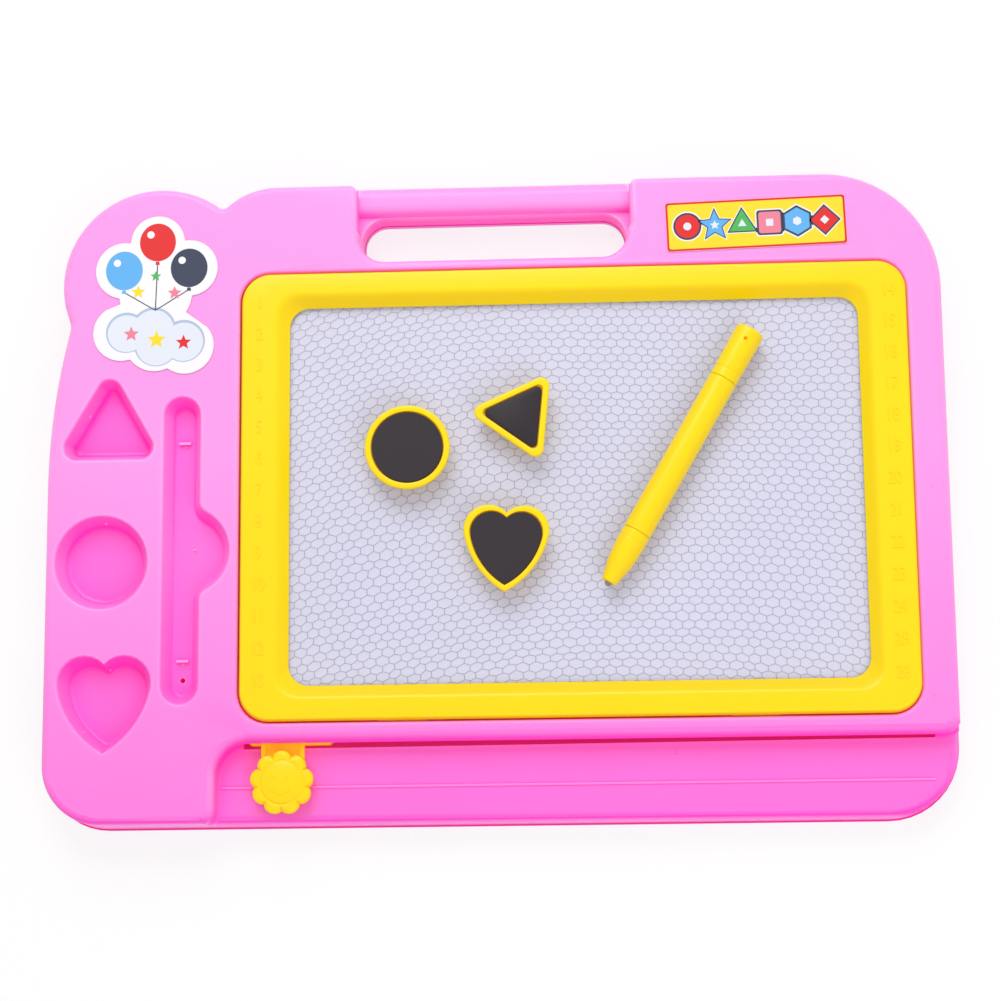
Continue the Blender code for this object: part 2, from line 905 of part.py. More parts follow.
def front_case(material):
    """The moulded front: deck, wells, pen tray, handle, frame recess, rail, slot and shelf."""
    levels = [(parting_height, base_flare), (deck_height - deck_round, 0)]
    levels += round_top(deck_height - deck_round, 0, deck_round, -1)
    case = stack("front_case", board_outline, levels, material)
    recess = rounded_outline(
        (recess_x, recess_y), recess_half_x, recess_half_y, frame_corner_radius + frame_clearance
    )
    shells = [pocket_shell("recess_shell", recess, ledge_top, 0), shelf_shell(), handle_space(wall)]
    cut(case, shelf_space(), handle_space(0))
    hole_levels = [(-overrun, -handle_draft), (deck_height - handle_rim_round, 0)]
    hole_levels += round_top(deck_height - handle_rim_round, 0, handle_rim_round, 1)
    hole_levels.append((deck_height + overrun, handle_rim_round))
    cut(case, stack("handle_hole", handle_outline, hole_levels))
    handle_shell_levels = [(-overrun, wall - handle_draft), (deck_height - handle_rim_round, wall)]
    handle_shell_levels.append((deck_height + overrun, wall))
    shells.append(stack("handle_shell", handle_outline, handle_shell_levels))
    cut(case, pocket("recess_space", recess, ledge_top, 0, recess_rim_round, seat_gap))
    for name, outline in well_outlines():
        floor = deck_height - well_depth
        cut(case, pocket(name + "_space", outline, floor, well_slope, well_rim_round, well_foot_round))
        shells.append(pocket_shell(name + "_shell", outline, floor, well_slope))
    tray_floor = deck_height - tray_depth
    cut(case, pocket("tray_space", tray_outline, tray_floor, tray_slope, tray_rim_round, tray_foot_round))
    shells.append(pocket_shell("tray_shell", tray_outline, tray_floor, tray_slope))
    cut(case, case_hollow(shells))
    window = rounded_outline((screen_x, screen_y), window_half_x, window_half_y, window_radius)
    window_levels = [(ledge_bottom - wall / 2, 0), (ledge_top + wall / 2, 0)]
    cut(case, stack("screen_window", window, window_levels))
    cut(case, snap_windows(), slot_space())
    cut(case, posts("pilot_holes", screw_places(), pilot_radius, 0, pilot_top))
    tray_x = left + tray_from_left
    tray_high = top - tray_from_top
    tray_low = tray_high - tray_length
    hole_place = [(tray_x, tray_low + tray_hole_from_end)]
    cut(case, posts("tray_hole", hole_place, tray_hole_radius, tray_floor - 2 * wall, deck_height))
    ribs = []
    for y in (tray_low + clip_rib_from_end, tray_high - clip_rib_from_end):
        low = (tray_x - clip_rib_length / 2, y - clip_rib_width / 2, tray_floor - wall / 2)
        high = (tray_x + clip_rib_length / 2, y + clip_rib_width / 2, tray_floor + clip_rib_height)
        ribs.append((low, high))
    join(case, boxes("clip_ribs", ribs))
    return case


# Back case and screws


def back_case(material):
    """The shallow back: a floor whose edge stands proud, a wall that nests in the front, posts and ribs."""
    edge = base_flare + back_lip
    nest = base_flare - wall - nest_clearance
    rim_top = parting_height - seat_gap
    levels = [(0, edge - back_edge_round)]
    for k in range(1, round_steps + 1):
        angle = math.pi / 2 * k / round_steps
        levels.append(
            (
                back_edge_round * (1 - math.cos(angle)),
                edge - back_edge_round * (1 - math.sin(angle)),
            )
        )
    levels += [
        (rim_top, edge),
        (rim_top, nest),
        (nest_height, nest - nest_clearance),
        (nest_height, nest - nest_clearance - nest_wall),
        (back_floor, nest - nest_clearance - nest_wall),
    ]
    case = stack("back_case", board_outline, levels, material)
    collar_inner = wall + collar_clearance
    collar_outer = collar_inner + nest_wall
    collar = stack(
        "handle_collar",
        handle_outline,
        [(back_floor / 2, collar_outer), (nest_height - nest_clearance, collar_outer)],
    )
    collar_seat = stack(
        "handle_collar_seat",
        handle_outline,
        [(rim_top, collar_inner), (nest_height + overrun, collar_inner)],
    )
    join(case, collar)
    cut(case, collar_seat)
    ribs = []
    for side in (-1, 1):
        ribs.append((screen_y + side * runner_from_screen, nest_height))
    ribs.append((screen_y + guide_from_screen, guide_height))
    spans = []
    for y, height in ribs:
        low = (screen_x - runner_length / 2, y - runner_width / 2, back_floor / 2)
        high = (screen_x + runner_length / 2, y + runner_width / 2, height)
        spans.append((low, high))
    join(case, boxes("back_ribs", spans))
    join(case, posts("back_posts", screw_places(), post_radius, back_floor / 2, post_top))
    hole_levels = [(-overrun, -handle_draft), (nest_height + overrun, -handle_draft)]
    hole = stack("handle_back_hole", handle_outline, hole_levels)
    cut(case, hole)
    cut(case, posts("counterbores", screw_places(), counterbore_radius, -overrun, counterbore_depth))
    cut(case, posts("screw_holes", screw_places(), clearance_hole_radius, 0, post_top + overrun))
    return case


def case_screws(material):
    """The screws that hold the back to the bosses of the front, heads down in their counterbores."""
    seat = counterbore_depth - seat_gap
    profile = [
        (0, seat + screw_length),
        (screw_shank_radius, seat + screw_length - screw_point_length),
        (screw_shank_radius, seat),
        (screw_head_radius, seat),
        (screw_head_radius, seat - screw_head_height + screw_slot_round),
        (screw_head_radius - screw_slot_round, seat - screw_head_height),
        (0, seat - screw_head_height),
    ]
    for k, (x, y) in enumerate(screw_places()):
        screw = turned(f"case_screw_{k + 1}", profile, small_turned_steps, material)
        screw.location = (x, y, 0)


# Screen frame and laminate


def screen_frame(material):
    """The snap-in frame: an outer wall, a flat band, a slope down to the screen and hooked snaps."""
    slope_run = frame_brow + frame_slope_run
    lip_run = slope_run + frame_lip_round
    foot = ledge_top + seat_gap
    brow_drop = frame_brow / 2
    lip_top = frame_lip_bottom + frame_lip_height
    inner_corner = frame_corner_radius - frame_side_wall
    brow_corner = (frame_corner_radius + frame_lip_radius) / 2
    path = [
        (0, 0, foot, frame_corner_radius),
        (0, 0, frame_height - frame_edge_round, frame_corner_radius),
        (0, frame_edge_round / 3, frame_height - frame_edge_round / 3, frame_corner_radius),
        (0, frame_edge_round, frame_height, frame_corner_radius - frame_edge_round),
        (1, 0, frame_height, brow_corner),
        (1, frame_brow, frame_height - brow_drop, brow_corner),
        (1, slope_run, lip_top + frame_lip_round, frame_lip_radius),
        (1, lip_run, lip_top, frame_lip_radius),
        (1, lip_run, frame_lip_bottom, frame_lip_radius),
        (1, lip_run - frame_skin, frame_lip_bottom, frame_lip_radius),
        (1, -frame_skin / 2, frame_height - frame_skin - brow_drop, brow_corner),
        (0, frame_side_wall, frame_height - frame_skin - brow_drop, inner_corner),
        (0, frame_side_wall, foot, inner_corner),
    ]
    rings = []
    for beyond_band, inset, height, radius in path:
        half_x = frame_length / 2 - beyond_band * frame_band_x - inset
        half_y = frame_depth / 2 - beyond_band * frame_band_y - inset
        outline = rounded_rectangle((screen_x, screen_y), half_x, half_y, radius)
        rings.append([(x, y, height) for x, y in outline])
    frame = loft("screen_frame", rings, material, closed=True)
    hook_top = ledge_bottom - snap_gap
    hook_bottom = hook_top - snap_hook_height
    toe = hook_bottom - snap_hook_lead
    section = [
        (-snap_proud, frame_height - snap_shoulder_drop),
        (-snap_proud, toe),
        (snap_thickness - snap_proud, toe),
        (snap_thickness - snap_proud + snap_hook_reach, hook_bottom),
        (snap_thickness - snap_proud + snap_hook_reach, hook_top),
        (snap_thickness - snap_proud, hook_top),
        (snap_thickness - snap_proud, frame_height - snap_shoulder_drop),
    ]
    for k, (x, side) in enumerate(snap_places()):
        ends = []
        for end in (-1, 1):
            ring = []
            for inward, height in section:
                y = screen_y + side * (frame_depth / 2 - inward)
                ring.append((screen_x + x + end * snap_width / 2, y, height))
            ends.append(ring)
        join(frame, loft(f"snap_{k + 1}", ends))
    return frame


def screen_laminate(clear, filled, glue):
    """Front sheet, fluid-filled honeycomb core, the seal round its edge and the back sheet."""
    half_x = frame_length / 2 - laminate_margin
    half_y = frame_depth / 2 - laminate_margin
    center = (screen_x, screen_y)
    full = rounded_outline(center, half_x, half_y, laminate_radius)
    front_levels = [(screen_top - sheet_thickness, 0), (screen_top, 0)]
    stack("screen_front_sheet", full, front_levels, clear)
    back_levels = [(back_sheet_bottom, 0), (back_sheet_bottom + sheet_thickness, 0)]
    stack("screen_back_sheet", full, back_levels, clear)
    core_levels = [(core_bottom, -seal_width - seat_gap), (core_top, -seal_width - seat_gap)]
    stack("honeycomb_core", full, core_levels, filled)
    rings = []
    for height, grow in (
        (core_bottom, 0),
        (core_top, 0),
        (core_top, -seal_width),
        (core_bottom, -seal_width),
    ):
        rings.append([(x, y, height) for x, y in full(grow)])
    loft("screen_edge_seal", rings, glue, closed=True)


# Eraser and its knob


def eraser_bar(material):
    """The bar behind the screen: a channel with a magnet holder, a forked shoe, a foot and the arm."""
    foot_y = rail_front - slot_end_opening + foot_gap
    foot_inner_y = recess_y - recess_half_y - wall - foot_gap
    shoe_y = screen_y + guide_from_screen
    bar_low = foot_inner_y - bar_wall
    bar_high = shoe_y
    half = bar_width / 2
    bar = boxes(
        "eraser_bar",
        [((knob_x - half, bar_low, bar_bottom), (knob_x + half, bar_high, bar_top))],
        material,
    )
    channel = boxes(
        "bar_channel",
        [
            (
                (knob_x - half + bar_wall, bar_low + 2 * bar_wall, bar_bottom - overrun),
                (knob_x + half - bar_wall, bar_high - shoe_depth, bar_top - bar_skin),
            )
        ],
    )
    cut(bar, channel)
    holder_half = eraser_magnet_width / 2 + seat_gap
    holder = []
    for side in (-1, 1):
        inner = knob_x + side * holder_half
        outer = knob_x + side * (holder_half + holder_wall)
        low = (min(inner, outer), screen_y - holder_half_length, bar_top - bar_skin / 2)
        high = (max(inner, outer), screen_y + holder_half_length, holder_top)
        holder.append((low, high))
    for side in (-1, 1):
        inner = screen_y + side * (eraser_magnet_half_length + seat_gap)
        outer = inner + side * holder_wall
        low = (knob_x - holder_half - holder_wall, min(inner, outer), bar_top - bar_skin / 2)
        high = (knob_x + holder_half + holder_wall, max(inner, outer), holder_top)
        holder.append((low, high))
    for k, span in enumerate(holder):
        join(bar, boxes(f"magnet_holder_{k + 1}", [span]))
    shoe = boxes(
        "bar_shoe",
        [
            (
                (knob_x - shoe_length / 2, shoe_y - shoe_depth / 2, bar_bottom),
                (knob_x + shoe_length / 2, shoe_y + shoe_depth / 2, bar_top),
            )
        ],
    )
    join(bar, shoe)
    fork_half = runner_width / 2 + shoe_slot_gap
    fork = boxes(
        "shoe_fork",
        [
            (
                (knob_x - shoe_length, shoe_y - fork_half, bar_bottom - overrun),
                (knob_x + shoe_length, shoe_y + fork_half, guide_height + seat_gap),
            )
        ],
    )
    cut(bar, fork)
    foot_x = knob_x + foot_offset
    foot_half = foot_length / 2
    plan = [
        (foot_x - foot_half, foot_inner_y),
        (foot_x - foot_half, foot_y + foot_chamfer),
        (foot_x - foot_half + foot_chamfer, foot_y),
        (foot_x + foot_half - foot_chamfer, foot_y),
        (foot_x + foot_half, foot_y + foot_chamfer),
        (foot_x + foot_half, foot_inner_y),
    ]
    foot = loft("bar_foot", [[(x, y, z) for x, y in plan] for z in (bar_bottom, arm_top)])
    join(bar, foot)
    arm_half = arm_width / 2
    arm_end = knob_y - arm_end_from_knob
    web = boxes(
        "arm_web",
        [((knob_x - arm_half, arm_end, arm_bottom), (knob_x + arm_half, foot_inner_y - wall, arm_top))],
    )
    join(bar, web)
    for side in (-1, 1):
        inner = knob_x + side * (arm_half - arm_rib_width)
        outer = knob_x + side * arm_half
        low = (min(inner, outer), arm_end, arm_bottom)
        high = (max(inner, outer), foot_inner_y - wall, rib_top)
        name = "arm_rib_left" if side < 0 else "arm_rib_right"
        join(bar, boxes(name, [(low, high)]))
    knob_post_top = knob_bottom + knob_thickness - knob_skin - seat_gap
    join(bar, posts("knob_post", [(knob_x, knob_y)], knob_post_radius, arm_bottom + seat_gap, knob_post_top))
    return bar


def eraser_magnet(material):
    """The magnet strip that draws the particles away from the back sheet."""
    low = (knob_x - eraser_magnet_width / 2, screen_y - eraser_magnet_half_length, bar_top + seat_gap)
    high = (
        knob_x + eraser_magnet_width / 2,
        screen_y + eraser_magnet_half_length,
        back_sheet_bottom - seat_gap,
    )
    return boxes("eraser_magnet", [(low, high)], material)


def slider_knob(material):
    """The flower knob: round petals, a domed middle in a shallow groove, and a socket underneath."""
    top_height = knob_bottom + knob_thickness
    levels = [(knob_bottom, -knob_edge_round / 2), (knob_bottom + knob_edge_round / 2, 0)]
    levels.append((top_height - knob_edge_round, 0))
    levels += round_top(top_height - knob_edge_round, 0, knob_edge_round, -1)
    knob = stack("slider_knob", flower_outline, levels, material)
    dome_foot = top_height - knob_edge_round
    dome = [(0, top_height + knob_dome_height)]
    for k in range(1, round_steps + 1):
        angle = math.pi / 2 * k / round_steps
        rise = knob_dome_height * math.cos(angle)
        dome.append((knob_dome_radius * math.sin(angle), top_height + rise - knob_groove_depth / 2))
    dome += [(knob_dome_radius, dome_foot), (0, dome_foot)]
    groove = [
        (knob_dome_radius + knob_groove_width, top_height + overrun),
        (knob_dome_radius + knob_groove_width, top_height),
        (knob_dome_radius, top_height - knob_groove_depth),
        (knob_dome_radius - knob_groove_width, top_height - knob_groove_depth),
        (knob_dome_radius - knob_groove_width, top_height + overrun),
    ]
    groove_cutter = turned("knob_groove", groove, turned_steps, closed=True)
    dome_piece = turned("knob_dome", dome, turned_steps)
    hollow_top = top_height - knob_skin
    hollow = [
        (knob_hollow_radius, hollow_top),
        (knob_hollow_radius, knob_bottom - overrun),
        (knob_socket_radius, knob_bottom - overrun),
        (knob_socket_radius, hollow_top),
    ]
    hollow_cutter = turned("knob_hollow", hollow, turned_steps, closed=True)
    for piece in (groove_cutter, dome_piece, hollow_cutter):
        piece.location = (knob_x, knob_y, 0)
    middle = [(knob_x, knob_y)]
    socket_low = arm_top + knob_web_gap
    bore_radius = knob_post_radius + knob_post_gap
    cut(knob, groove_cutter)
    join(knob, dome_piece)
    cut(knob, hollow_cutter)
    join(knob, posts("knob_socket", middle, knob_socket_radius, socket_low, hollow_top + knob_skin / 2))
    cut(knob, posts("knob_bore", middle, bore_radius, socket_low - overrun, hollow_top))
    return knob


# Stamps and pen


def stamp(name, outline, body_material, magnet_material):
    """A tapered cup with its magnet set in the wide face; it lies on its narrow face, magnet up."""
    low = screen_top + seat_gap
    high = low + stamp_height
    pocket_floor = high - stamp_pocket_depth
    ceiling = pocket_floor - stamp_skin
    hollow = -stamp_taper - stamp_wall
    levels = [
        (pocket_floor, -stamp_rim),
        (high, -stamp_rim),
        (high, -stamp_edge_round),
        (high - stamp_edge_round / 3, -stamp_edge_round / 3),
        (high - stamp_edge_round, 0),
        (low + stamp_foot_round, -stamp_taper),
        (low, -stamp_taper - stamp_foot_round),
        (low, hollow),
        (ceiling, hollow + stamp_taper / 2),
    ]
    stack(name + "_body", outline, levels, body_material)
    inset = -stamp_rim - stamp_magnet_gap
    magnet_levels = [(pocket_floor + seat_gap, inset), (high - stamp_magnet_sink, inset)]
    stack(name + "_magnet", outline, magnet_levels, magnet_material)


def stamps(body_material, magnet_material):
    """The three stamps as they lie on the screen."""
    circle = circle_outline(shares_of_frame(circle_stamp_place_shares), circle_stamp_radius)
    triangle = triangle_outline(
        shares_of_frame(triangle_stamp_place_shares),
        triangle_stamp_side,
        triangle_stamp_corner,
        triangle_stamp_turn,
    )
    heart = heart_outline(
        shares_of_frame(heart_stamp_place_shares), heart_stamp_width, heart_stamp_turn
    )
    stamp("circle_stamp", circle, body_material, magnet_material)
    stamp("triangle_stamp", triangle, body_material, magnet_material)
    stamp("heart_stamp", heart, body_material, magnet_material)


def pen(body_material, tip_material):
    """Nose, barrel and end cap in line, with the magnet tip in the nose; the pen lies on the screen."""
    shoulder = pen_length - pen_cap_length
    joint = pen_nose_length
    spigot_radius = pen_bore_radius - pen_spigot_gap
    tip_bore = pen_tip_radius + pen_spigot_gap
    groove = pen_groove_depth
    nose_groove = joint - pen_groove_from_joint
    nose_span = nose_groove - pen_groove_width - pen_nose_start
    nose = [(tip_bore, joint + pen_spigot_length), (spigot_radius, joint + pen_spigot_length)]
    nose += [(spigot_radius, joint - seat_gap), (pen_radius - groove, joint - seat_gap)]
    nose += [(pen_radius, joint - seat_gap - pen_groove_width), (pen_radius, nose_groove)]
    nose += [(pen_radius - groove, nose_groove - pen_groove_width / 2)]
    taper = []
    for along, across in zip(nose_station_shares, nose_radius_shares):
        radius = pen_nose_end_radius + across * (pen_radius - pen_nose_end_radius)
        taper.append((radius, pen_nose_start + along * nose_span))
    nose += list(reversed(taper))
    nose += [(pen_nose_end_radius, pen_nose_start), (tip_bore, pen_nose_start)]
    barrel = [
        (pen_bore_radius, shoulder),
        (pen_radius - groove, shoulder),
        (pen_radius, shoulder - pen_groove_width),
        (pen_radius, joint + pen_groove_width),
        (pen_radius - groove, joint),
        (pen_bore_radius, joint),
    ]
    cap_groove = shoulder + pen_groove_from_joint
    cap = [
        (0, pen_length),
        (pen_end_radius - pen_end_round, pen_length),
        (pen_end_radius - pen_end_round / 4, pen_length - pen_end_round / 3),
        (pen_end_radius, pen_length - pen_end_round),
        (pen_radius, cap_groove + pen_groove_width),
        (pen_radius - groove, cap_groove),
        (pen_radius, cap_groove - pen_groove_width),
        (pen_radius, shoulder + seat_gap + pen_groove_width),
        (pen_radius - groove, shoulder + seat_gap),
        (spigot_radius, shoulder + seat_gap),
        (spigot_radius, shoulder - pen_spigot_length),
        (0, shoulder - pen_spigot_length),
    ]
    tip = [
        (0, pen_tip_depth),
        (pen_tip_radius, pen_tip_depth),
        (pen_tip_radius, pen_tip_radius),
        (pen_tip_radius * math.sin(math.radians(50)), pen_tip_radius * (1 - math.cos(math.radians(50)))),
        (0, 0),
    ]
    pieces = [
        turned("pen_nose", nose, turned_steps, body_material, closed=True),
        turned("pen_barrel", barrel, turned_steps, body_material, closed=True),
        turned("pen_cap", cap, turned_steps, body_material),
        turned("pen_tip", tip, small_turned_steps, tip_material),
    ]
    axis_height = screen_top + seat_gap + pen_end_radius
    string_hole = posts("pen_string_hole", [(0, 0)], pen_string_hole_radius, -pen_radius * 2, pen_radius * 2)
    hole_reach = pen_length - pen_string_hole_from_end
    heading = math.radians(pen_heading)
    tip_x = screen_x + pen_tip_across_share * frame_length
    tip_y = screen_y + frame_depth / 2 - pen_end_from_frame - pen_length * math.sin(heading)
    string_hole.location = (
        tip_x + hole_reach * math.cos(heading),
        tip_y + hole_reach * math.sin(heading),
        axis_height,
    )
    for piece in pieces:
        piece.rotation_euler = (0, math.pi / 2, heading)
        piece.location = (tip_x, tip_y, axis_height)
    cut(pieces[2], string_hole)


# Stickers


def stickers(material):
    """The die-cut sticker on the ear and the title sticker in the upper right corner."""
    low = deck_height + seat_gap
    high = low + sticker_thickness
    center = (left + corner_sticker_from_left, top - corner_sticker_from_top)
    scale = corner_sticker_half_height
    discs = [(x * scale, y * scale, radius * scale) for x, y, radius in corner_disc_shares]
    ring = cluster_outline(center, discs)
    loft("corner_sticker", [[(x, y, z) for x, y in ring] for z in (low, high)], material)
    flat = rounded_rectangle((0, 0), title_length / 2, title_depth / 2, title_radius, 3 * fine_arc_step)
    title = loft("title_sticker", [[(x, y, z) for x, y in flat] for z in (0, sticker_thickness)], material)
    title.rotation_euler = (0, 0, math.radians(title_turn))
    title.location = (right - title_from_right, top - title_from_top, low)


clear_scene()
pink = plastic("pink_plastic", (0.95, 0.30, 0.72), 0.28)
yellow = plastic("yellow_plastic", (0.98, 0.72, 0.02), 0.3)
clear_sheet = plastic("clear_sheet", (0.85, 0.86, 0.90), 0.1, transmission=0.8)
core_fill = plastic("honeycomb_fill", (0.66, 0.66, 0.78), 0.5)
seal_glue = plastic("edge_seal", (0.85, 0.84, 0.80), 0.6)
magnet_black = plastic("magnet_black", (0.05, 0.045, 0.05), 0.6)
screw_steel = plastic("screw_steel", (0.62, 0.62, 0.64), 0.35, metallic=1.0)
tip_steel = plastic("tip_steel", (0.35, 0.35, 0.37), 0.3, metallic=1.0)
sticker_film = plastic("sticker_film", (0.92, 0.90, 0.88), 0.25)
front_case(pink)
back_case(pink)
case_screws(screw_steel)
screen_frame(yellow)
screen_laminate(clear_sheet, core_fill, seal_glue)
eraser_bar(yellow)
eraser_magnet(magnet_black)
slider_knob(yellow)
stamps(yellow, magnet_black)
pen(yellow, tip_steel)
stickers(sticker_film)
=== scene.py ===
import math

import bmesh
import bpy
from mathutils import Matrix, Vector, noise
from mathutils.bvhtree import BVHTree


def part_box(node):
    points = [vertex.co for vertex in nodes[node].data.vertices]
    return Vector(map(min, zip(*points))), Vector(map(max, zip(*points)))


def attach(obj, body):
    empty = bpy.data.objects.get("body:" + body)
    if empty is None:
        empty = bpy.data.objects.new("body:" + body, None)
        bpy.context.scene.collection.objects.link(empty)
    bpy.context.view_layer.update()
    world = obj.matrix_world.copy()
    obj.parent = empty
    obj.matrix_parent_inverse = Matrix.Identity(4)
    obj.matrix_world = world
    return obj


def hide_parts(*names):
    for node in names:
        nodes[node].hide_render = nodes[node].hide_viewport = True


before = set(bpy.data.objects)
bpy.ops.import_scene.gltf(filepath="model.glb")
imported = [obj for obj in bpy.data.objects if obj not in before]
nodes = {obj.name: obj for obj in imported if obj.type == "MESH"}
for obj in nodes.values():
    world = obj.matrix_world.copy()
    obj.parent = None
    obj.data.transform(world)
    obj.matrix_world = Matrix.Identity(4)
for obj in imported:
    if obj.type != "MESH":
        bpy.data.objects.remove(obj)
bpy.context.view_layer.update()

# View: a camera above the front edge of the board that looks down on it, a little turned and tilted,
# as the product is photographed on a white table.
camera_place = (0.04379, -0.16079, 0.94444)
camera_turn = (9.666, 2.674, -0.631)
camera_data = bpy.data.cameras.new("camera")
camera_data.sensor_width = 36.0
camera_data.lens = 80.62
camera = bpy.data.objects.new("camera", camera_data)
bpy.context.scene.collection.objects.link(camera)
camera.location = camera_place
camera.rotation_euler = [math.radians(angle) for angle in camera_turn]
bpy.context.scene.camera = camera
bpy.context.scene.view_settings.view_transform = "Standard"

# Light: an even white studio tent, a soft key behind the board and a weaker fill in front of it, so that
# the far walls of the wells are dark and the near ones light.
world = bpy.data.worlds.new("studio_tent")
world.use_nodes = True
tree = world.node_tree
tent = tree.nodes["Background"]
tent.inputs["Color"].default_value = (1.0, 0.985, 1.0, 1.0)
tent.inputs["Strength"].default_value = 0.66
backdrop = tree.nodes.new("ShaderNodeBackground")
backdrop.inputs["Color"].default_value = (1.0, 1.0, 1.0, 1.0)
looked_at = tree.nodes.new("ShaderNodeLightPath")
either = tree.nodes.new("ShaderNodeMixShader")
tree.links.new(looked_at.outputs["Is Camera Ray"], either.inputs["Fac"])
tree.links.new(tent.outputs["Background"], either.inputs[1])
tree.links.new(backdrop.outputs["Background"], either.inputs[2])
tree.links.new(either.outputs["Shader"], tree.nodes["World Output"].inputs["Surface"])
bpy.context.scene.world = world
softboxes = (
    ("key_softbox", (-0.15, 0.98, 1.10), 0.9, 10.8),
    ("fill_softbox", (0.55, -0.80, 1.00), 0.9, 5.8),
)
for name, place, size, power in softboxes:
    light_data = bpy.data.lights.new(name, "AREA")
    light_data.size = size
    light_data.energy = power
    light = bpy.data.objects.new(name, light_data)
    bpy.context.scene.collection.objects.link(light)
    light.location = place
    light.rotation_euler = (-Vector(place)).to_track_quat("-Z", "Y").to_euler()
    light.visible_glossy = name == "key_softbox"

# Table top: a plain white sheet under the board, that shows white to the camera and in reflections
# and takes the board's soft shadow.
table_half = 4.0
plain_white_share = 0.78
table_white = bpy.data.materials.new("table_white")
table_white.use_nodes = True
tree = table_white.node_tree
matt = tree.nodes["Principled BSDF"]
matt.inputs["Base Color"].default_value = (0.90, 0.90, 0.90, 1.0)
matt.inputs["Roughness"].default_value = 0.85
paths = tree.nodes.new("ShaderNodeLightPath")
seen = tree.nodes.new("ShaderNodeMath")
seen.operation = "MAXIMUM"
tree.links.new(paths.outputs["Is Camera Ray"], seen.inputs[0])
tree.links.new(paths.outputs["Is Glossy Ray"], seen.inputs[1])
through = tree.nodes.new("ShaderNodeMath")
through.operation = "MAXIMUM"
tree.links.new(seen.outputs["Value"], through.inputs[0])
tree.links.new(paths.outputs["Is Transmission Ray"], through.inputs[1])
share = tree.nodes.new("ShaderNodeMath")
share.operation = "MULTIPLY"
share.inputs[1].default_value = plain_white_share
tree.links.new(through.outputs["Value"], share.inputs[0])
white = tree.nodes.new("ShaderNodeEmission")
white.inputs["Strength"].default_value = 1.0
mixed = tree.nodes.new("ShaderNodeMixShader")
tree.links.new(share.outputs["Value"], mixed.inputs["Fac"])
tree.links.new(matt.outputs["BSDF"], mixed.inputs[1])
tree.links.new(white.outputs["Emission"], mixed.inputs[2])
tree.links.new(mixed.outputs["Shader"], tree.nodes["Material Output"].inputs["Surface"])
table_top = bpy.data.objects.new("table_top", bpy.data.meshes.new("table_top"))
bm = bmesh.new()
bmesh.ops.create_grid(bm, x_segments=1, y_segments=1, size=table_half)
bm.to_mesh(table_top.data)
bm.free()
table_top.data.materials.append(table_white)
bpy.context.scene.collection.objects.link(table_top)


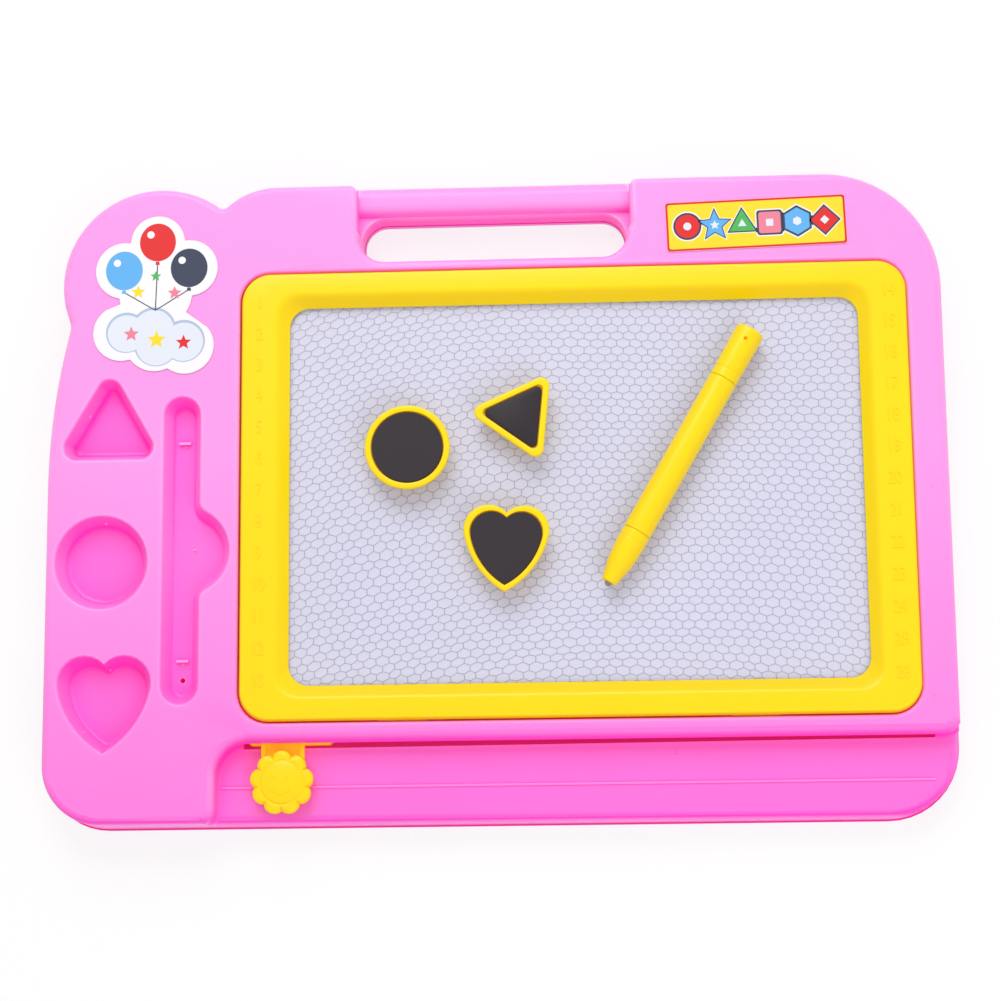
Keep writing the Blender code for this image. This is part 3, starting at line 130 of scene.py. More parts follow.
# Case back: a shallow tray, injection-moulded in glossy pink polypropylene like the front. It closes the
# hollow front from below. Its plastic lets some light through. Painted shade turns it a deeper pink towards
# the front edge and on faces turned to that edge, and its inside is painted with emitted light, standing in
# for light let through the plastic.
def moulded(
    name,
    colour,
    roughness=0.30,
    coat=0.2,
    shine=0.5,
    soak=0.0,
    painted_shade_colour=None,
    shares=(0, 0, 0, 0),
    painted_glow=None,
    near=False,
    painted_rim_highlight=None,
):
    """Glossy moulded plastic: a slow drift of colour and gloss, and fine orange peel. It turns to its
    painted shade colour by the four shares, in low places, towards the board's front edge, on faces turned
    to that edge and in corners, but less at the open handle and on the outer front wall: painted shade that
    stands in for shadow and light bounced between its walls. A painted light shines from its own corners,
    and with near set also where other pieces are close. Its rims turn paler, as a painted highlight."""
    material = bpy.data.materials.new(name)
    material.use_nodes = True
    tree = material.node_tree
    shader = tree.nodes["Principled BSDF"]

    def feed(source, socket):
        """Links the socket to a source that varies, or sets it to a plain one."""
        if isinstance(source, bpy.types.NodeSocket):
            tree.links.new(source, socket)
        else:
            socket.default_value = source

    def node(kind, **values):
        made = tree.nodes.new("ShaderNode" + kind)
        for key, value in values.items():
            feed(value, made.inputs[key.replace("_", " ")])
        return made

    def mapped(source, **limits):
        return node("MapRange", Value=source, **limits).outputs["Result"]

    def reckoned(operation, *sources, clamp=False):
        made = node("Math")
        made.operation = operation
        made.use_clamp = clamp
        for source, socket in zip(sources, made.inputs):
            feed(source, socket)
        return made.outputs["Value"]

    def openness(reach, inside, only_local):
        """How far a place is from being closed in, or with inside set from being on a thin rim: 1 to 0."""
        made = node("AmbientOcclusion", Distance=reach)
        made.samples = 6
        made.inside = inside
        made.only_local = only_local
        return made.outputs["AO"]

    def blended(part, first, second):
        made = node("Mix")
        made.data_type = "RGBA"
        feed(part, made.inputs["Factor"])
        feed(first, made.inputs["A"])
        feed(second, made.inputs["B"])
        return made.outputs["Result"]

    place = node("TexCoord").outputs["Object"]
    drift = node("TexNoise", Vector=place, Scale=18.0, Detail=3.0).outputs["Fac"]
    tone = node("HueSaturation", Value=mapped(drift, To_Min=0.97, To_Max=1.03), Color=(*colour, 1.0))
    # Painted shade: the colour turns to the shade colour in low places, towards the front edge, on faces
    # turned to the front and in closed-in corners, for shadow and light bounced between walls.
    if painted_shade_colour:
        spot = node("SeparateXYZ", Vector=place)
        normal = node("SeparateXYZ", Vector=node("NewGeometry").outputs["Normal"])
        handle_lift = 0.006
        handle_turn = 0.45
        corner_reach = 0.022
        handle = mapped(spot.outputs["Y"], From_Min=0.100, From_Max=0.118)
        level = reckoned("MULTIPLY_ADD", handle, handle_lift, spot.outputs["Z"])
        facing = reckoned("MULTIPLY_ADD", handle, handle_turn, normal.outputs["Y"])
        room = openness(corner_reach, inside=False, only_local=not near)
        ranges = (
            (level, 0.0178, 0.0145),
            (spot.outputs["Y"], 0.02, -0.14),
            (facing, 0.0, -0.75),
            (room, 0.85, 0.30),
        )
        low, forward, fronted, cornered = [
            mapped(source, From_Min=start, From_Max=full, To_Max=share)
            for share, (source, start, full) in zip(shares, ranges)
        ]
        painted_shade_amount = reckoned("MAXIMUM", low, forward, clamp=True)
        for part in (fronted, cornered):
            painted_shade_amount = reckoned("ADD", painted_shade_amount, part, clamp=True)
        front_wall = mapped(spot.outputs["Y"], From_Min=-0.1345, From_Max=-0.1358, To_Min=1.0, To_Max=0.4)
        painted_shade_amount = reckoned("MULTIPLY", painted_shade_amount, front_wall)
        # Painted light: emission in closed-in corners and gaps, standing in for light let through the
        # plastic.
        if painted_glow:
            lit = mapped(room, From_Min=0.75, From_Max=0.35, To_Max=0.36)
            feed(lit, shader.inputs["Emission Strength"])
            shader.inputs["Emission Color"].default_value = (*painted_glow, 1.0)
        base = (*colour, 1.0)
        # Painted highlight: thin rims and rounded edges turn paler, as if catching the light.
        if painted_rim_highlight:
            rim_reach = 0.0018
            backing = openness(rim_reach, inside=True, only_local=True)
            edge = mapped(backing, From_Min=0.97, From_Max=0.50, To_Max=0.7)
            base = blended(edge, base, (*painted_rim_highlight, 1.0))
        feed(blended(painted_shade_amount, base, (*painted_shade_colour, 1.0)), tone.inputs["Color"])
    feed(tone.outputs["Color"], shader.inputs["Base Color"])
    feed(mapped(drift, To_Min=roughness * 0.8, To_Max=roughness * 1.2), shader.inputs["Roughness"])
    peel = node("TexNoise", Vector=place, Scale=700.0, Detail=2.0).outputs["Fac"]
    bump = node("Bump", Height=peel, Strength=0.03, Distance=0.0003)
    feed(bump.outputs["Normal"], shader.inputs["Normal"])
    shader.inputs["Coat Weight"].default_value = coat
    shader.inputs["Coat Roughness"].default_value = 0.08
    shader.inputs["Specular IOR Level"].default_value = shine
    shader.inputs["Subsurface Weight"].default_value = soak
    shader.inputs["Subsurface Radius"].default_value = (1.0, 0.5, 0.6)
    shader.inputs["Subsurface Scale"].default_value = 0.003
    return material


def finished(name, bm, materials, body, replaced=(), smooth=40, weighted=False):
    """Makes a piece of a bmesh: shades it, dresses it, sets what it rides on, and hides the parts it stands
    for.
    """
    mesh = bpy.data.meshes.new(name)
    bm.to_mesh(mesh)
    bm.free()
    mesh.shade_smooth()
    mesh.set_sharp_from_angle(angle=math.radians(smooth))
    for material in materials:
        mesh.materials.append(material)
    obj = bpy.data.objects.new(name, mesh)
    bpy.context.scene.collection.objects.link(obj)
    if weighted:
        normals = obj.modifiers.new("even_faces", "WEIGHTED_NORMAL")
        normals.keep_sharp = True
    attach(obj, body)
    if replaced:
        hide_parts(*replaced)
    return obj


same_point = 0.000001


def merged(node_name):
    """The form of a CAD node with its loose triangles joined at their corners."""
    mesh = nodes[node_name].data.copy()
    split_normals = mesh.attributes.get("custom_normal")
    if split_normals:
        mesh.attributes.remove(split_normals)
    bm = bmesh.new()
    bm.from_mesh(mesh)
    bmesh.ops.remove_doubles(bm, verts=bm.verts, dist=same_point)
    bpy.data.meshes.remove(mesh)
    return bm


# Each round stretch of the case's outline: its middle, its radius, and its start and end in degrees.
case_curves = (
    (-0.1640, -0.11045, 0.0250, 180, 270),
    (0.1605, -0.10695, 0.0285, 270, 360),
    (0.1397, 0.08615, 0.0493, 0, 90),
    (-0.0923, 0.10345, 0.0320, 90, 132.3),
    (-0.1423, 0.09365, 0.0418, 52.8, 201.4),
    (0.1010, 0.005418, 0.2900, 166.4, 180),
)


def evened(bm):
    """Splits the long facets on the round corners of the case and lifts the new points on to the curves."""
    furthest_in = -0.0035
    furthest_out = 0.0015
    finest_sag = 0.00003
    coarsest_sag = 0.0009
    angle_slack = 0.2
    for x, y, radius, start, end in case_curves:
        center = Vector((x, y))
        for halving in range(4):
            chords = []
            reaches = {}
            for edge in bm.edges:
                spokes = [vert.co.xy - center for vert in edge.verts]
                if not all(furthest_in < spoke.length - radius < furthest_out for spoke in spokes):
                    continue
                angles = [math.degrees(math.atan2(spoke.y, spoke.x)) - start for spoke in spokes]
                turns = [(angle + 180) % 360 - 180 for angle in angles]
                sag = radius * (1 - math.cos(math.radians(turns[1] - turns[0]) / 2))
                on_curve = all(-angle_slack < turn < end - start + angle_slack for turn in turns)
                if on_curve and finest_sag < sag < coarsest_sag:
                    chords.append(edge)
                    middle = (edge.verts[0].co + edge.verts[1].co) / 2
                    key = tuple(round(c, 6) for c in middle)
                    reaches[key] = (spokes[0].length + spokes[1].length) / 2
            if not chords:
                break
            split = bmesh.ops.subdivide_edges(bm, edges=chords, cuts=1)
            for vert in split["geom_inner"]:
                if isinstance(vert, bmesh.types.BMVert):
                    reach = reaches[tuple(round(c, 6) for c in vert.co)]
                    vert.co.xy = center + (vert.co.xy - center).normalized() * reach
            bmesh.ops.triangulate(bm, faces=[face for face in bm.faces if len(face.verts) > 3])
    return bm


case_colour = (0.95, 0.300, 0.745)
# The darker pink that is painted in as shade in the case's low places, corners and faces turned to the
# front.
case_painted_shade = (1.0, 0.040, 0.58)
back_pink = moulded(
    "case_back_pink",
    case_colour,
    roughness=0.44,
    coat=0.15,
    soak=0.15,
    painted_shade_colour=case_painted_shade,
    shares=(0, 0.36, 0.35, 0),
)
# Painted light: the case's inside is lit by its own emission, standing in for light let through the pink
# walls.
inside_painted_glow = moulded("case_inside_painted_glow", (0.70, 0.02, 0.30))
glowing = inside_painted_glow.node_tree.nodes["Principled BSDF"]
glowing.inputs["Emission Color"].default_value = (0.60, 0.012, 0.17, 1.0)
glowing.inputs["Emission Strength"].default_value = 0.36
tub = evened(merged("back_case"))
for face in tub.faces:
    face.material_index = 1 if face.normal.z > 0.5 else 0
finished("case_back", tub, [back_pink, inside_painted_glow], "board", ["back_case"], weighted=True)

# Screws: nine self-tapping screws of zinc-plated steel with a domed head and a cross recess, driven up
# through the back into the bosses of the front.
zinc = moulded("screw_zinc", (0.58, 0.58, 0.60), roughness=0.32, coat=0.0)
zinc.node_tree.nodes["Principled BSDF"].inputs["Metallic"].default_value = 1.0


def turned(profile, steps):
    """A solid of revolution round Z through (radius, height) points that start and end on the axis."""
    bm = bmesh.new()
    corners = [bm.verts.new((radius, 0, height)) for radius, height in profile]
    line = [bm.edges.new(pair) for pair in zip(corners, corners[1:])]
    full_turn = 2 * math.pi
    bmesh.ops.spin(
        bm, geom=corners + line, axis=(0, 0, 1), cent=(0, 0, 0), angle=full_turn, steps=steps, use_merge=True
    )
    bmesh.ops.remove_doubles(bm, verts=bm.verts, dist=same_point)
    bmesh.ops.recalc_face_normals(bm, faces=bm.faces)
    return bm


def carved(bm, cutter):
    """The form less the cutter."""
    pair = []
    for form in (bm, cutter):
        mesh = bpy.data.meshes.new("carving")
        form.to_mesh(mesh)
        form.free()
        pair.append(bpy.data.objects.new("carving", mesh))
        bpy.context.scene.collection.objects.link(pair[-1])
    cut = pair[0].modifiers.new("cut", "BOOLEAN")
    cut.object = pair[1]
    cut.solver = "MANIFOLD"
    bpy.context.view_layer.update()
    result = bmesh.new()
    result.from_object(pair[0], bpy.context.evaluated_depsgraph_get())
    for obj in pair:
        bpy.data.objects.remove(obj)
    return result


head_dome = ((0, 0), (0.0009, 0.00004), (0.0018, 0.0002), (0.0025, 0.0006), (0.0028, 0.0011))
head_radius = 0.0028
head_height = 0.0018
shank_radius = 0.0013
thread_root = 0.00105
thread_start = 0.0026
thread_pitch = 0.0009
thread_turns = 5
recess_size = (0.0030, 0.0006, 0.0014)
recess_middle = 0.0004
turn_between = 0.7
for number in range(1, 10):
    screw_low, screw_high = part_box(f"case_screw_{number}")
    foot = screw_low.z
    profile = [(radius, foot + height) for radius, height in head_dome]
    profile += [(head_radius, foot + head_height), (shank_radius, foot + head_height)]
    for turn in range(thread_turns):
        thread = foot + thread_start + turn * thread_pitch
        profile += [(thread_root, thread), (shank_radius, thread + 0.00035), (thread_root, thread + 0.0007)]
    profile += [(0.0010, screw_high.z - 0.001), (0, screw_high.z)]
    screw = turned(profile, 32)
    for quarter in (0, 90):
        crossed = Matrix.Rotation(math.radians(quarter), 4, "Z")
        place = Matrix.Translation((0, 0, foot + recess_middle)) @ crossed
        blade = bmesh.new()
        bmesh.ops.create_cube(blade, size=1.0, matrix=place @ Matrix.Diagonal((*recess_size, 1)))
        screw = carved(screw, blade)
    middle = (screw_low + screw_high) / 2
    spot = Matrix.Translation((middle.x, middle.y, 0)) @ Matrix.Rotation(number * turn_between, 4, "Z")
    bmesh.ops.transform(screw, matrix=spot, verts=screw.verts)
    finished(f"screw_{number}", screw, [zinc], "board", [f"case_screw_{number}"])

# Case front: the deck with its ear, wells, pen tray, hand hole, rail and shelf, one moulding in the same
# pink as the back, with soft edges and the deck's corners by the handle rounded. Painted shade turns it a
# deeper pink in low places, towards the front, on faces turned to the front and in corners; painted emitted
# light warms its corners and gaps, standing in for light that passes through the thin walls; and its thin
# rims are painted paler as a highlight.
pink = moulded(
    "case_pink",
    case_colour,
    roughness=0.44,
    coat=0.15,
    soak=0.15,
    painted_shade_colour=case_painted_shade,
    shares=(0.56, 0.42, 0.60, 0.45),
    painted_glow=(0.80, 0.02, 0.07),
    painted_rim_highlight=(1.0, 0.62, 0.92),
)
front = evened(merged("front_case"))
corner_round = 0.0045
deck_back = 0.13545
handle_ends = ((-1, -0.0576), (1, 0.0589))
block_size = (corner_round + 0.00002, corner_round + 0.0009, 0.0116)
block_middle = 0.01935
rod_middle = 0.019
rod_length = 0.03
for side, x in handle_ends:
    center = (x + side * corner_round, deck_back - corner_round)
    block = bmesh.new()
    corner = (center[0] - side * block_size[0] / 2, center[1] + block_size[1] / 2, block_middle)
    place = Matrix.Translation(corner) @ Matrix.Diagonal((*block_size, 1))
    bmesh.ops.create_cube(block, size=1.0, matrix=place)
    rod = bmesh.new()
    place = Matrix.Translation((*center, rod_middle))
    bmesh.ops.create_cone(
        rod,
        cap_ends=True,
        segments=64,
        radius1=corner_round,
        radius2=corner_round,
        depth=rod_length,
        matrix=place,
    )
    front = carved(front, carved(block, rod))
finished("case_front", front, [pink], "board", ["front_case"], weighted=True)

# Moulding marks: the small ring and nub that each gate and ejector pin leaves in the wells, in the floors
# of the tray and the shelf and on the right strip.
front_form = merged("front_case")
front_tree = BVHTree.FromBMesh(front_form)
front_form.free()
gates = (
    (-0.1272, -0.0206, 0.0012),
    (-0.1316, 0.0234, 0.0008),
    (-0.1315, -0.0692, 0.0008),
    (-0.1723, 0.0370, 0.0006),
    (-0.1647, -0.0092, 0.0006),
    (-0.1622, -0.0710, 0.0006),
    (-0.1722, -0.0970, 0.0006),
    (0.0737, -0.1083, 0.0008),
    (0.1815, -0.0005, 0.0005),
    (0.1786, -0.0868, 0.0005),
)
above_case = 0.05
nub_height = 0.0010
nub_foot = 0.6
nub_top = 0.4
nub_lift = 0.00004
wire_radius = 0.00016
wire_lift = 0.00003
bm = bmesh.new()
for x, y, reach in gates:
    base, facing = front_tree.ray_cast(Vector((x, y, above_case)), Vector((0, 0, -1)))[:2]
    seat = Matrix.Translation(base) @ facing.to_track_quat("Z", "Y").to_matrix().to_4x4()
    nub = seat @ Matrix.Translation((0, 0, nub_lift))
    bmesh.ops.create_cone(
        bm,
        cap_ends=True,
        segments=24,
        radius1=reach * nub_foot,
        radius2=reach * nub_top,
        depth=nub_height,
        matrix=nub,
    )
    wire = seat @ Matrix.Translation((reach, 0, wire_lift)) @ Matrix.Rotation(math.pi / 2, 4, "X")
    section = bmesh.ops.create_circle(bm, segments=6, radius=wire_radius, matrix=wire)["verts"]
    rim = list({edge for vert in section for edge in vert.link_edges})
    bmesh.ops.spin(
        bm, geom=section + rim, cent=base, axis=facing, angle=2 * math.pi, steps=28, use_merge=True
    )
bmesh.ops.recalc_face_normals(bm, faces=bm.faces)
finished("moulding_marks", bm, [pink], "board")

# Screen filling: expanded honeycomb of thin blue-grey film between two sheets. Its cells hold milky fluid
# with iron powder. It is pulled open by hand, so the rows wander, lean and sink towards the left.
core_low, core_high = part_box("honeycomb_core")
core_middle = (core_low + core_high) / 2
cell_width = 0.00545
row_pitch = 0.00332
first_cell = (-31.75 * cell_width, -31.5 * row_pitch)
shown_half = (0.1270, 0.0860)
cell_height = 0.0008
cell_depth = 0.0009
slab_gap = 0.0010
wander = (0.0045, 0.0050)
jitter = (0.0008, 0.0009)
slow_waves = 10
quick_waves = 14
lean_mean = 0.05
lean_spread = 0.10
droop = 0.0060
droop_start = 0.035
droop_reach = 0.025
bm = bmesh.new()
bmesh.ops.create_circle(bm, cap_ends=True, segments=6, radius=1.0)
bmesh.ops.scale(bm, vec=(cell_width / math.sqrt(3), row_pitch / 1.5, 1), verts=bm.verts)
shifts = [(cell_width * 2**k, 0, 0) for k in range(6)]
shifts += [(cell_width / 2, row_pitch, 0)] + [(0, row_pitch * 2**k, 0) for k in range(1, 6)]
for shift in shifts:
    copy = bmesh.ops.duplicate(bm, geom=bm.verts[:] + bm.edges[:] + bm.faces[:])
    fresh = [item for item in copy["geom"] if isinstance(item, bmesh.types.BMVert)]
    bmesh.ops.translate(bm, vec=shift, verts=fresh)
bmesh.ops.remove_doubles(bm, verts=bm.verts, dist=0.0001)
corner = (core_middle.x + first_cell[0], core_middle.y + first_cell[1], core_high.z - cell_depth)
bmesh.ops.translate(bm, vec=corner, verts=bm.verts)
for vert in bm.verts:
    slow = Vector((vert.co.x * slow_waves, vert.co.y * slow_waves, 0.3))
    quick = slow * quick_waves
    lean = lean_mean + lean_spread * noise.noise(slow * 0.6 + Vector((4, 1, 0)))
    vert.co.x += wander[0] * noise.noise(slow) + jitter[0] * noise.noise(quick)
    vert.co.y += wander[1] * noise.noise(slow + Vector((7.1, 3.3, 0))) + jitter[1] * noise.noise(quick.yxz)
    vert.co.y -= lean * (vert.co.x - core_middle.x) * 0.5
    past = -(vert.co.x - core_middle.x + droop_start) / droop_reach
    vert.co.y -= droop * math.log(1 + math.exp(past)) - droop
outside = []
for face in bm.faces:
    middle = face.calc_center_median() - core_middle
    if abs(middle.x) > shown_half[0] or abs(middle.y) > shown_half[1]:
        outside.append(face)
bmesh.ops.delete(bm, geom=outside, context="FACES")
raised = bmesh.ops.extrude_face_region(bm, geom=bm.faces[:])
lifted = [item for item in raised["geom"] if isinstance(item, bmesh.types.BMVert)]
cells = [item for item in raised["geom"] if isinstance(item, bmesh.types.BMFace)]
bmesh.ops.translate(bm, vec=(0, 0, cell_height), verts=lifted)
bmesh.ops.recalc_face_normals(bm, faces=bm.faces)
for face in bm.faces:
    face.material_index = 1
for slot, width, depth in ((2, 0.00009, -0.00002), (0, 0.00032, -0.00006)):
    bmesh.ops.inset_individual(bm, faces=cells, thickness=width, depth=depth, use_even_offset=True)
    for face in cells:
        face.material_index = slot
slab = bmesh.ops.create_cube(bm, size=1.0)
size = (core_high.x - core_low.x, core_high.y - core_low.y, core_high.z - core_low.z - slab_gap)
place = Matrix.Translation((core_middle.x, core_middle.y, core_low.z + size[2] / 2))
bmesh.ops.transform(bm, matrix=place @ Matrix.Diagonal((*size, 1)), verts=slab["verts"])
fluid = moulded("cell_fluid", (0.66, 0.66, 0.82), roughness=0.5)
# The darker ring round each cell's fluid is painted shade, where the fluid meets the film wall.
fluid_edge_shade = moulded("cell_fluid_edge_shade", (0.57, 0.57, 0.74), roughness=0.5)
film = moulded("cell_film", (0.07, 0.09, 0.22), roughness=0.4)
honeycomb_inks = [fluid, film, fluid_edge_shade]
finished("honeycomb", bm, honeycomb_inks, "board", ["honeycomb_core"], smooth=60)

# Screen sheets: a clear plastic front sheet to draw on and a milky back sheet, with the honeycomb between
# them. A bead of glue all round holds the three together and keeps the fluid in.
clear_sheet = moulded("screen_clear_film", (0.80, 0.80, 0.86), roughness=0.16)
clear_sheet.node_tree.nodes["Principled BSDF"].inputs["Alpha"].default_value = 0.14
milky_sheet = moulded("screen_milky_film", (0.66, 0.66, 0.70), roughness=0.35)
glue = moulded("edge_glue", (0.72, 0.70, 0.62), roughness=0.6)
for node_name, material in (
    ("screen_front_sheet", clear_sheet),
    ("screen_back_sheet", milky_sheet),
    ("screen_edge_seal", glue),
):
    nodes[node_name].data.materials.clear()
    nodes[node_name].data.materials.append(material)

# Screen frame: a glossy yellow moulding that snaps into the case over the screen, with a flat band, a
# soft roll down to the screen, a thin lip and four snaps along its long sides.
yellow_look = {
    "colour": (0.95, 0.69, 0.003),
    "roughness": 0.30,
    "coat": 0.05,
    "shine": 0.3,
    "soak": 0.15,
    # Painted shade and light: a darker orange towards the front edge, on faces turned to the front and in
    # corners, and red-orange emitted light in closed-in gaps.
    "painted_shade_colour": (1.0, 0.52, 0.0),
    "shares": (0, 0.15, 0.20, 0.35),
    "painted_glow": (0.70, 0.26, 0.0),
}
yellow = moulded("toy_yellow", **yellow_look)


def arc(center, radius, start, end, count):
    """Points on an arc, with angles in degrees."""
    points = []
    for k in range(count + 1):
        angle = math.radians(start + (end - start) * k / count)
        points.append((center[0] + radius * math.cos(angle), center[1] + radius * math.sin(angle)))
    return points


def rounded(center, half_x, half_y, radius, count):
    """A rectangle with round corners."""
    points = []
    for side_x, side_y, start in ((1, -1, 270), (1, 1, 0), (-1, 1, 90), (-1, -1, 180)):
        corner = (center[0] + side_x * (half_x - radius), center[1] + side_y * (half_y - radius))
        points += arc(corner, radius, start, start + 90, count)
    return points


def skinned(bm, rings, closed=False, slot=0):
    """Bridges rings of equal counts into one form, with caps, or closed from the last ring to the first."""
    before = set(bm.faces)
    apart = Vector((0, 0, 0.05))
    places = {}
    loops = []
    for level, points in enumerate(rings):
        corners = [bm.verts.new(Vector(point) + level * apart) for point in points]
        places.update(zip(corners, points))
        loops.append([bm.edges.new((corners[k - 1], corners[k])) for k in range(len(corners))])
    pairs = list(zip(loops, loops[1:]))
    if closed:
        pairs.append((loops[-1], loops[0]))
    for lower, upper in pairs:
        bmesh.ops.bridge_loops(bm, edges=lower + upper)
    if not closed:
        for end in (loops[0], loops[-1]):
            bmesh.ops.contextual_create(bm, geom=end)
    for corner, point in places.items():
        corner.co = point
    made = [face for face in bm.faces if face not in before]
    bmesh.ops.recalc_face_normals(bm, faces=made)
    for face in made:
        face.material_index = slot


frame_middle = (0.0337, 0.00135)
frame_half = (0.140, 0.0947)
frame_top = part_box("screen_frame")[1].z
band = (0.0136, 0.0081)
outer_round = 0.012
window_round = 0.0085
edge_round = 0.0009
wall_foot = 0.0155
wall_inset = 0.00055
lip_foot = 0.0194
roll_round = 0.0102
roll_width = 0.0052
roll_depth = 0.0041
quarter_turn = (18, 36, 54, 72, 90)
wall_round = outer_round + wall_inset
path = [(0, -wall_inset, wall_foot, wall_round), (0, -wall_inset, 0.0224, wall_round)]
path += [(0, 0, 0.0230, outer_round), (0, 0, frame_top - edge_round, outer_round)]
for turn in quarter_turn:
    inset = edge_round * (1 - math.cos(math.radians(turn)))
    rise = edge_round * math.sin(math.radians(turn))
    path.append((0, inset, frame_top - edge_round + rise, outer_round - inset))
roll_steps = 16
for k in range(roll_steps + 1):
    t = k / roll_steps
    near_start = 3 * t * (1 - t) ** 2
    near_end = 3 * t * t * (1 - t)
    at_end = t**3
    run = near_start * 0.0016 + near_end * 0.0026 + at_end * roll_width
    drop = near_end * 0.0014 + at_end * roll_depth
    path.append((1, run, frame_top - drop, roll_round + (window_round - roll_round) * t))
path += [(1, 0.0058, 0.0203, window_round), (1, 0.0061, 0.0200, window_round)]
path += [(1, 0.0061, lip_foot, window_round), (1, 0.0044, lip_foot, window_round)]
path += [(1, -0.0005, 0.0228, 0.010), (0, 0.002, 0.0228, 0.010), (0, 0.002, wall_foot, 0.010)]
rings = []
for past_band, inset, height, radius in path:
    half_x = frame_half[0] - past_band * band[0] - inset
    half_y = frame_half[1] - past_band * band[1] - inset
    rings.append([(x, y, height) for x, y in rounded(frame_middle, half_x, half_y, radius, 14)])
bm = bmesh.new()
skinned(bm, rings, closed=True)
snap_section = [(-0.0008, 0.0210), (-0.0008, 0.0113), (0.0012, 0.0113), (0.0048, 0.0119)]
snap_section += [(0.0048, 0.0128), (0.0012, 0.0128), (0.0012, 0.0210)]
snap_reach = 0.0729
snap_half = 0.0097
for side_x in (-1, 1):
    for side_y in (-1, 1):
        ends = []
        for reach in (-snap_half, snap_half):
            x = frame_middle[0] + side_x * snap_reach + reach
            ring = []
            for inset, height in snap_section:
                ring.append((x, frame_middle[1] + side_y * (frame_half[1] - inset), height))
            ends.append(ring)
        skinned(bm, ends)
finished("screen_surround", bm, [yellow], "board", ["screen_frame"], smooth=35)


# Numerals: plain counting numbers, moulded in one piece with the frame, in low relief down the two wide
# bands at its left and right.
def numerals(name, values, x):
    """A column of raised numerals, read from the top down."""
    first_row = 0.0834
    row_step = 0.0134
    width_share = 0.72
    bm = bmesh.new()
    for k, value in enumerate(values):
        text = bpy.data.curves.new(name, "FONT")
        text.body = str(value)
        text.size = 0.0080
        text.align_x = "CENTER"
        text.align_y = "CENTER"
        text.extrude = 0.00020
        text.bevel_depth = 0.00014
        text.bevel_resolution = 1
        text.resolution_u = 3
        figure = bpy.data.objects.new(name, text)
        bpy.context.scene.collection.objects.link(figure)
        bpy.context.view_layer.update()
        mesh = bpy.data.meshes.new_from_object(figure)
        place = Matrix.Translation((x, first_row - k * row_step, frame_top))
        mesh.transform(place @ Matrix.Diagonal((width_share, 1, 1, 1)))
        bm.from_mesh(mesh)
        bpy.data.objects.remove(figure)
        bpy.data.meshes.remove(mesh)
    finished(name, bm, [yellow], "board")


numerals("numerals_left", range(1, 14), -0.0989)
numerals("numerals_right", range(14, 27), 0.1663)

# Eraser bar: a yellow moulding that slides behind the screen, with an arm that comes out of the slot under
# the rail. A black magnet strip lies in its holder.
# With near set, the arm's painted shade and emitted light also come where other pieces close it in.
arm_yellow = moulded("slider_yellow", near=True, **yellow_look)
arm = merged("eraser_bar")
finished("eraser_slider", arm, [arm_yellow], "eraser", ["eraser_bar"], weighted=True)
magnet_black = moulded("flexible_magnet", (0.028, 0.022, 0.026), roughness=0.5, coat=0.0, shine=0.3)
nodes["eraser_magnet"].data.materials.clear()
nodes["eraser_magnet"].data.materials.append(magnet_black)

# Knob: a flower moulded in the same yellow plastic, pushed on the post at the end of the eraser's arm. It
# has nine domed petals round a domed middle in a ring groove, with two eyes and a smile in low relief.
knob = Vector((-0.08915, -0.11885, 0))
knob_low, knob_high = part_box("slider_knob")
knob_top = knob_high.z
knob_height = knob_high.z - knob_low.z
knob_angles = [math.radians(2 * k) for k in range(180)]
petal_count = 9
dome_radius = 0.0088
petal_start = 0.0096
rim_round = 0.0009


def petal_wave(angle):
    """How near the angle is to the middle of a petal: 1 on it and 0 in the valley between two."""
    return abs(math.cos(petal_count / 2 * (angle - math.pi / 2)))


def petal_reach(angle):
    """How far the flower's edge is from its middle."""
    return 0.0111 + 0.0021 * petal_wave(angle) ** 0.55


def petal_drop(angle, share):
    """How far a petal lies under the top of the dome, by the share of the way to the edge."""
    valley = 1 - petal_wave(angle) ** 0.8
    return 0.0012 + 0.0007 * valley * share + 0.0008 * max(0.0, share - 0.45) ** 2


levels = []
for radius in (0.0004, 0.0020, 0.0038, 0.0054, 0.0068, 0.0078, 0.0084):
    levels.append([(radius, 0.0011 * (radius / dome_radius) ** 2) for angle in knob_angles])
for radius, drop in ((dome_radius, 0.00145), (0.0092, 0.00150), (petal_start, 0.00125)):
    levels.append([(radius, drop) for angle in knob_angles])
for share in (0.12, 0.3, 0.5, 0.7, 0.85, 1.0):
    level = []
    for angle in knob_angles:
        span = petal_reach(angle) - petal_start - rim_round
        level.append((petal_start + span * share, petal_drop(angle, share)))
    levels.append(level)
for turn in (25, 50, 75, 90):
    out = rim_round * (1 - math.sin(math.radians(turn)))
    down = rim_round * (1 - math.cos(math.radians(turn)))
    levels.append([(petal_reach(angle) - out, petal_drop(angle, 1.0) + down) for angle in knob_angles])
for inset, lift in ((0, 0.0006), (0.0005, 0), (0.0016, 0)):
    levels.append([(petal_reach(angle) - inset, knob_height - lift) for angle in knob_angles])
rings = []
for level in levels:
    points = []
    for (radius, drop), angle in zip(level, knob_angles):
        x = knob.x + radius * math.cos(angle)
        y = knob.y + radius * math.sin(angle)
        points.append((x, y, knob_top - drop))
    rings.append(points)
bm = bmesh.new()
skinned(bm, rings)
eye_size = Matrix.Diagonal((0.0007, 0.0010, 0.0003, 1))
for x in (-0.0026, 0.0026):
    place = Matrix.Translation((knob.x + x, knob.y + 0.0020, knob_top - 0.00025))
    bmesh.ops.create_uvsphere(bm, u_segments=20, v_segments=10, radius=1.0, matrix=place @ eye_size)
smile_reach = 0.0048
smile_drop = 0.0005
smile_wire = 0.0003
smile_start = 218
smile_sweep = 104
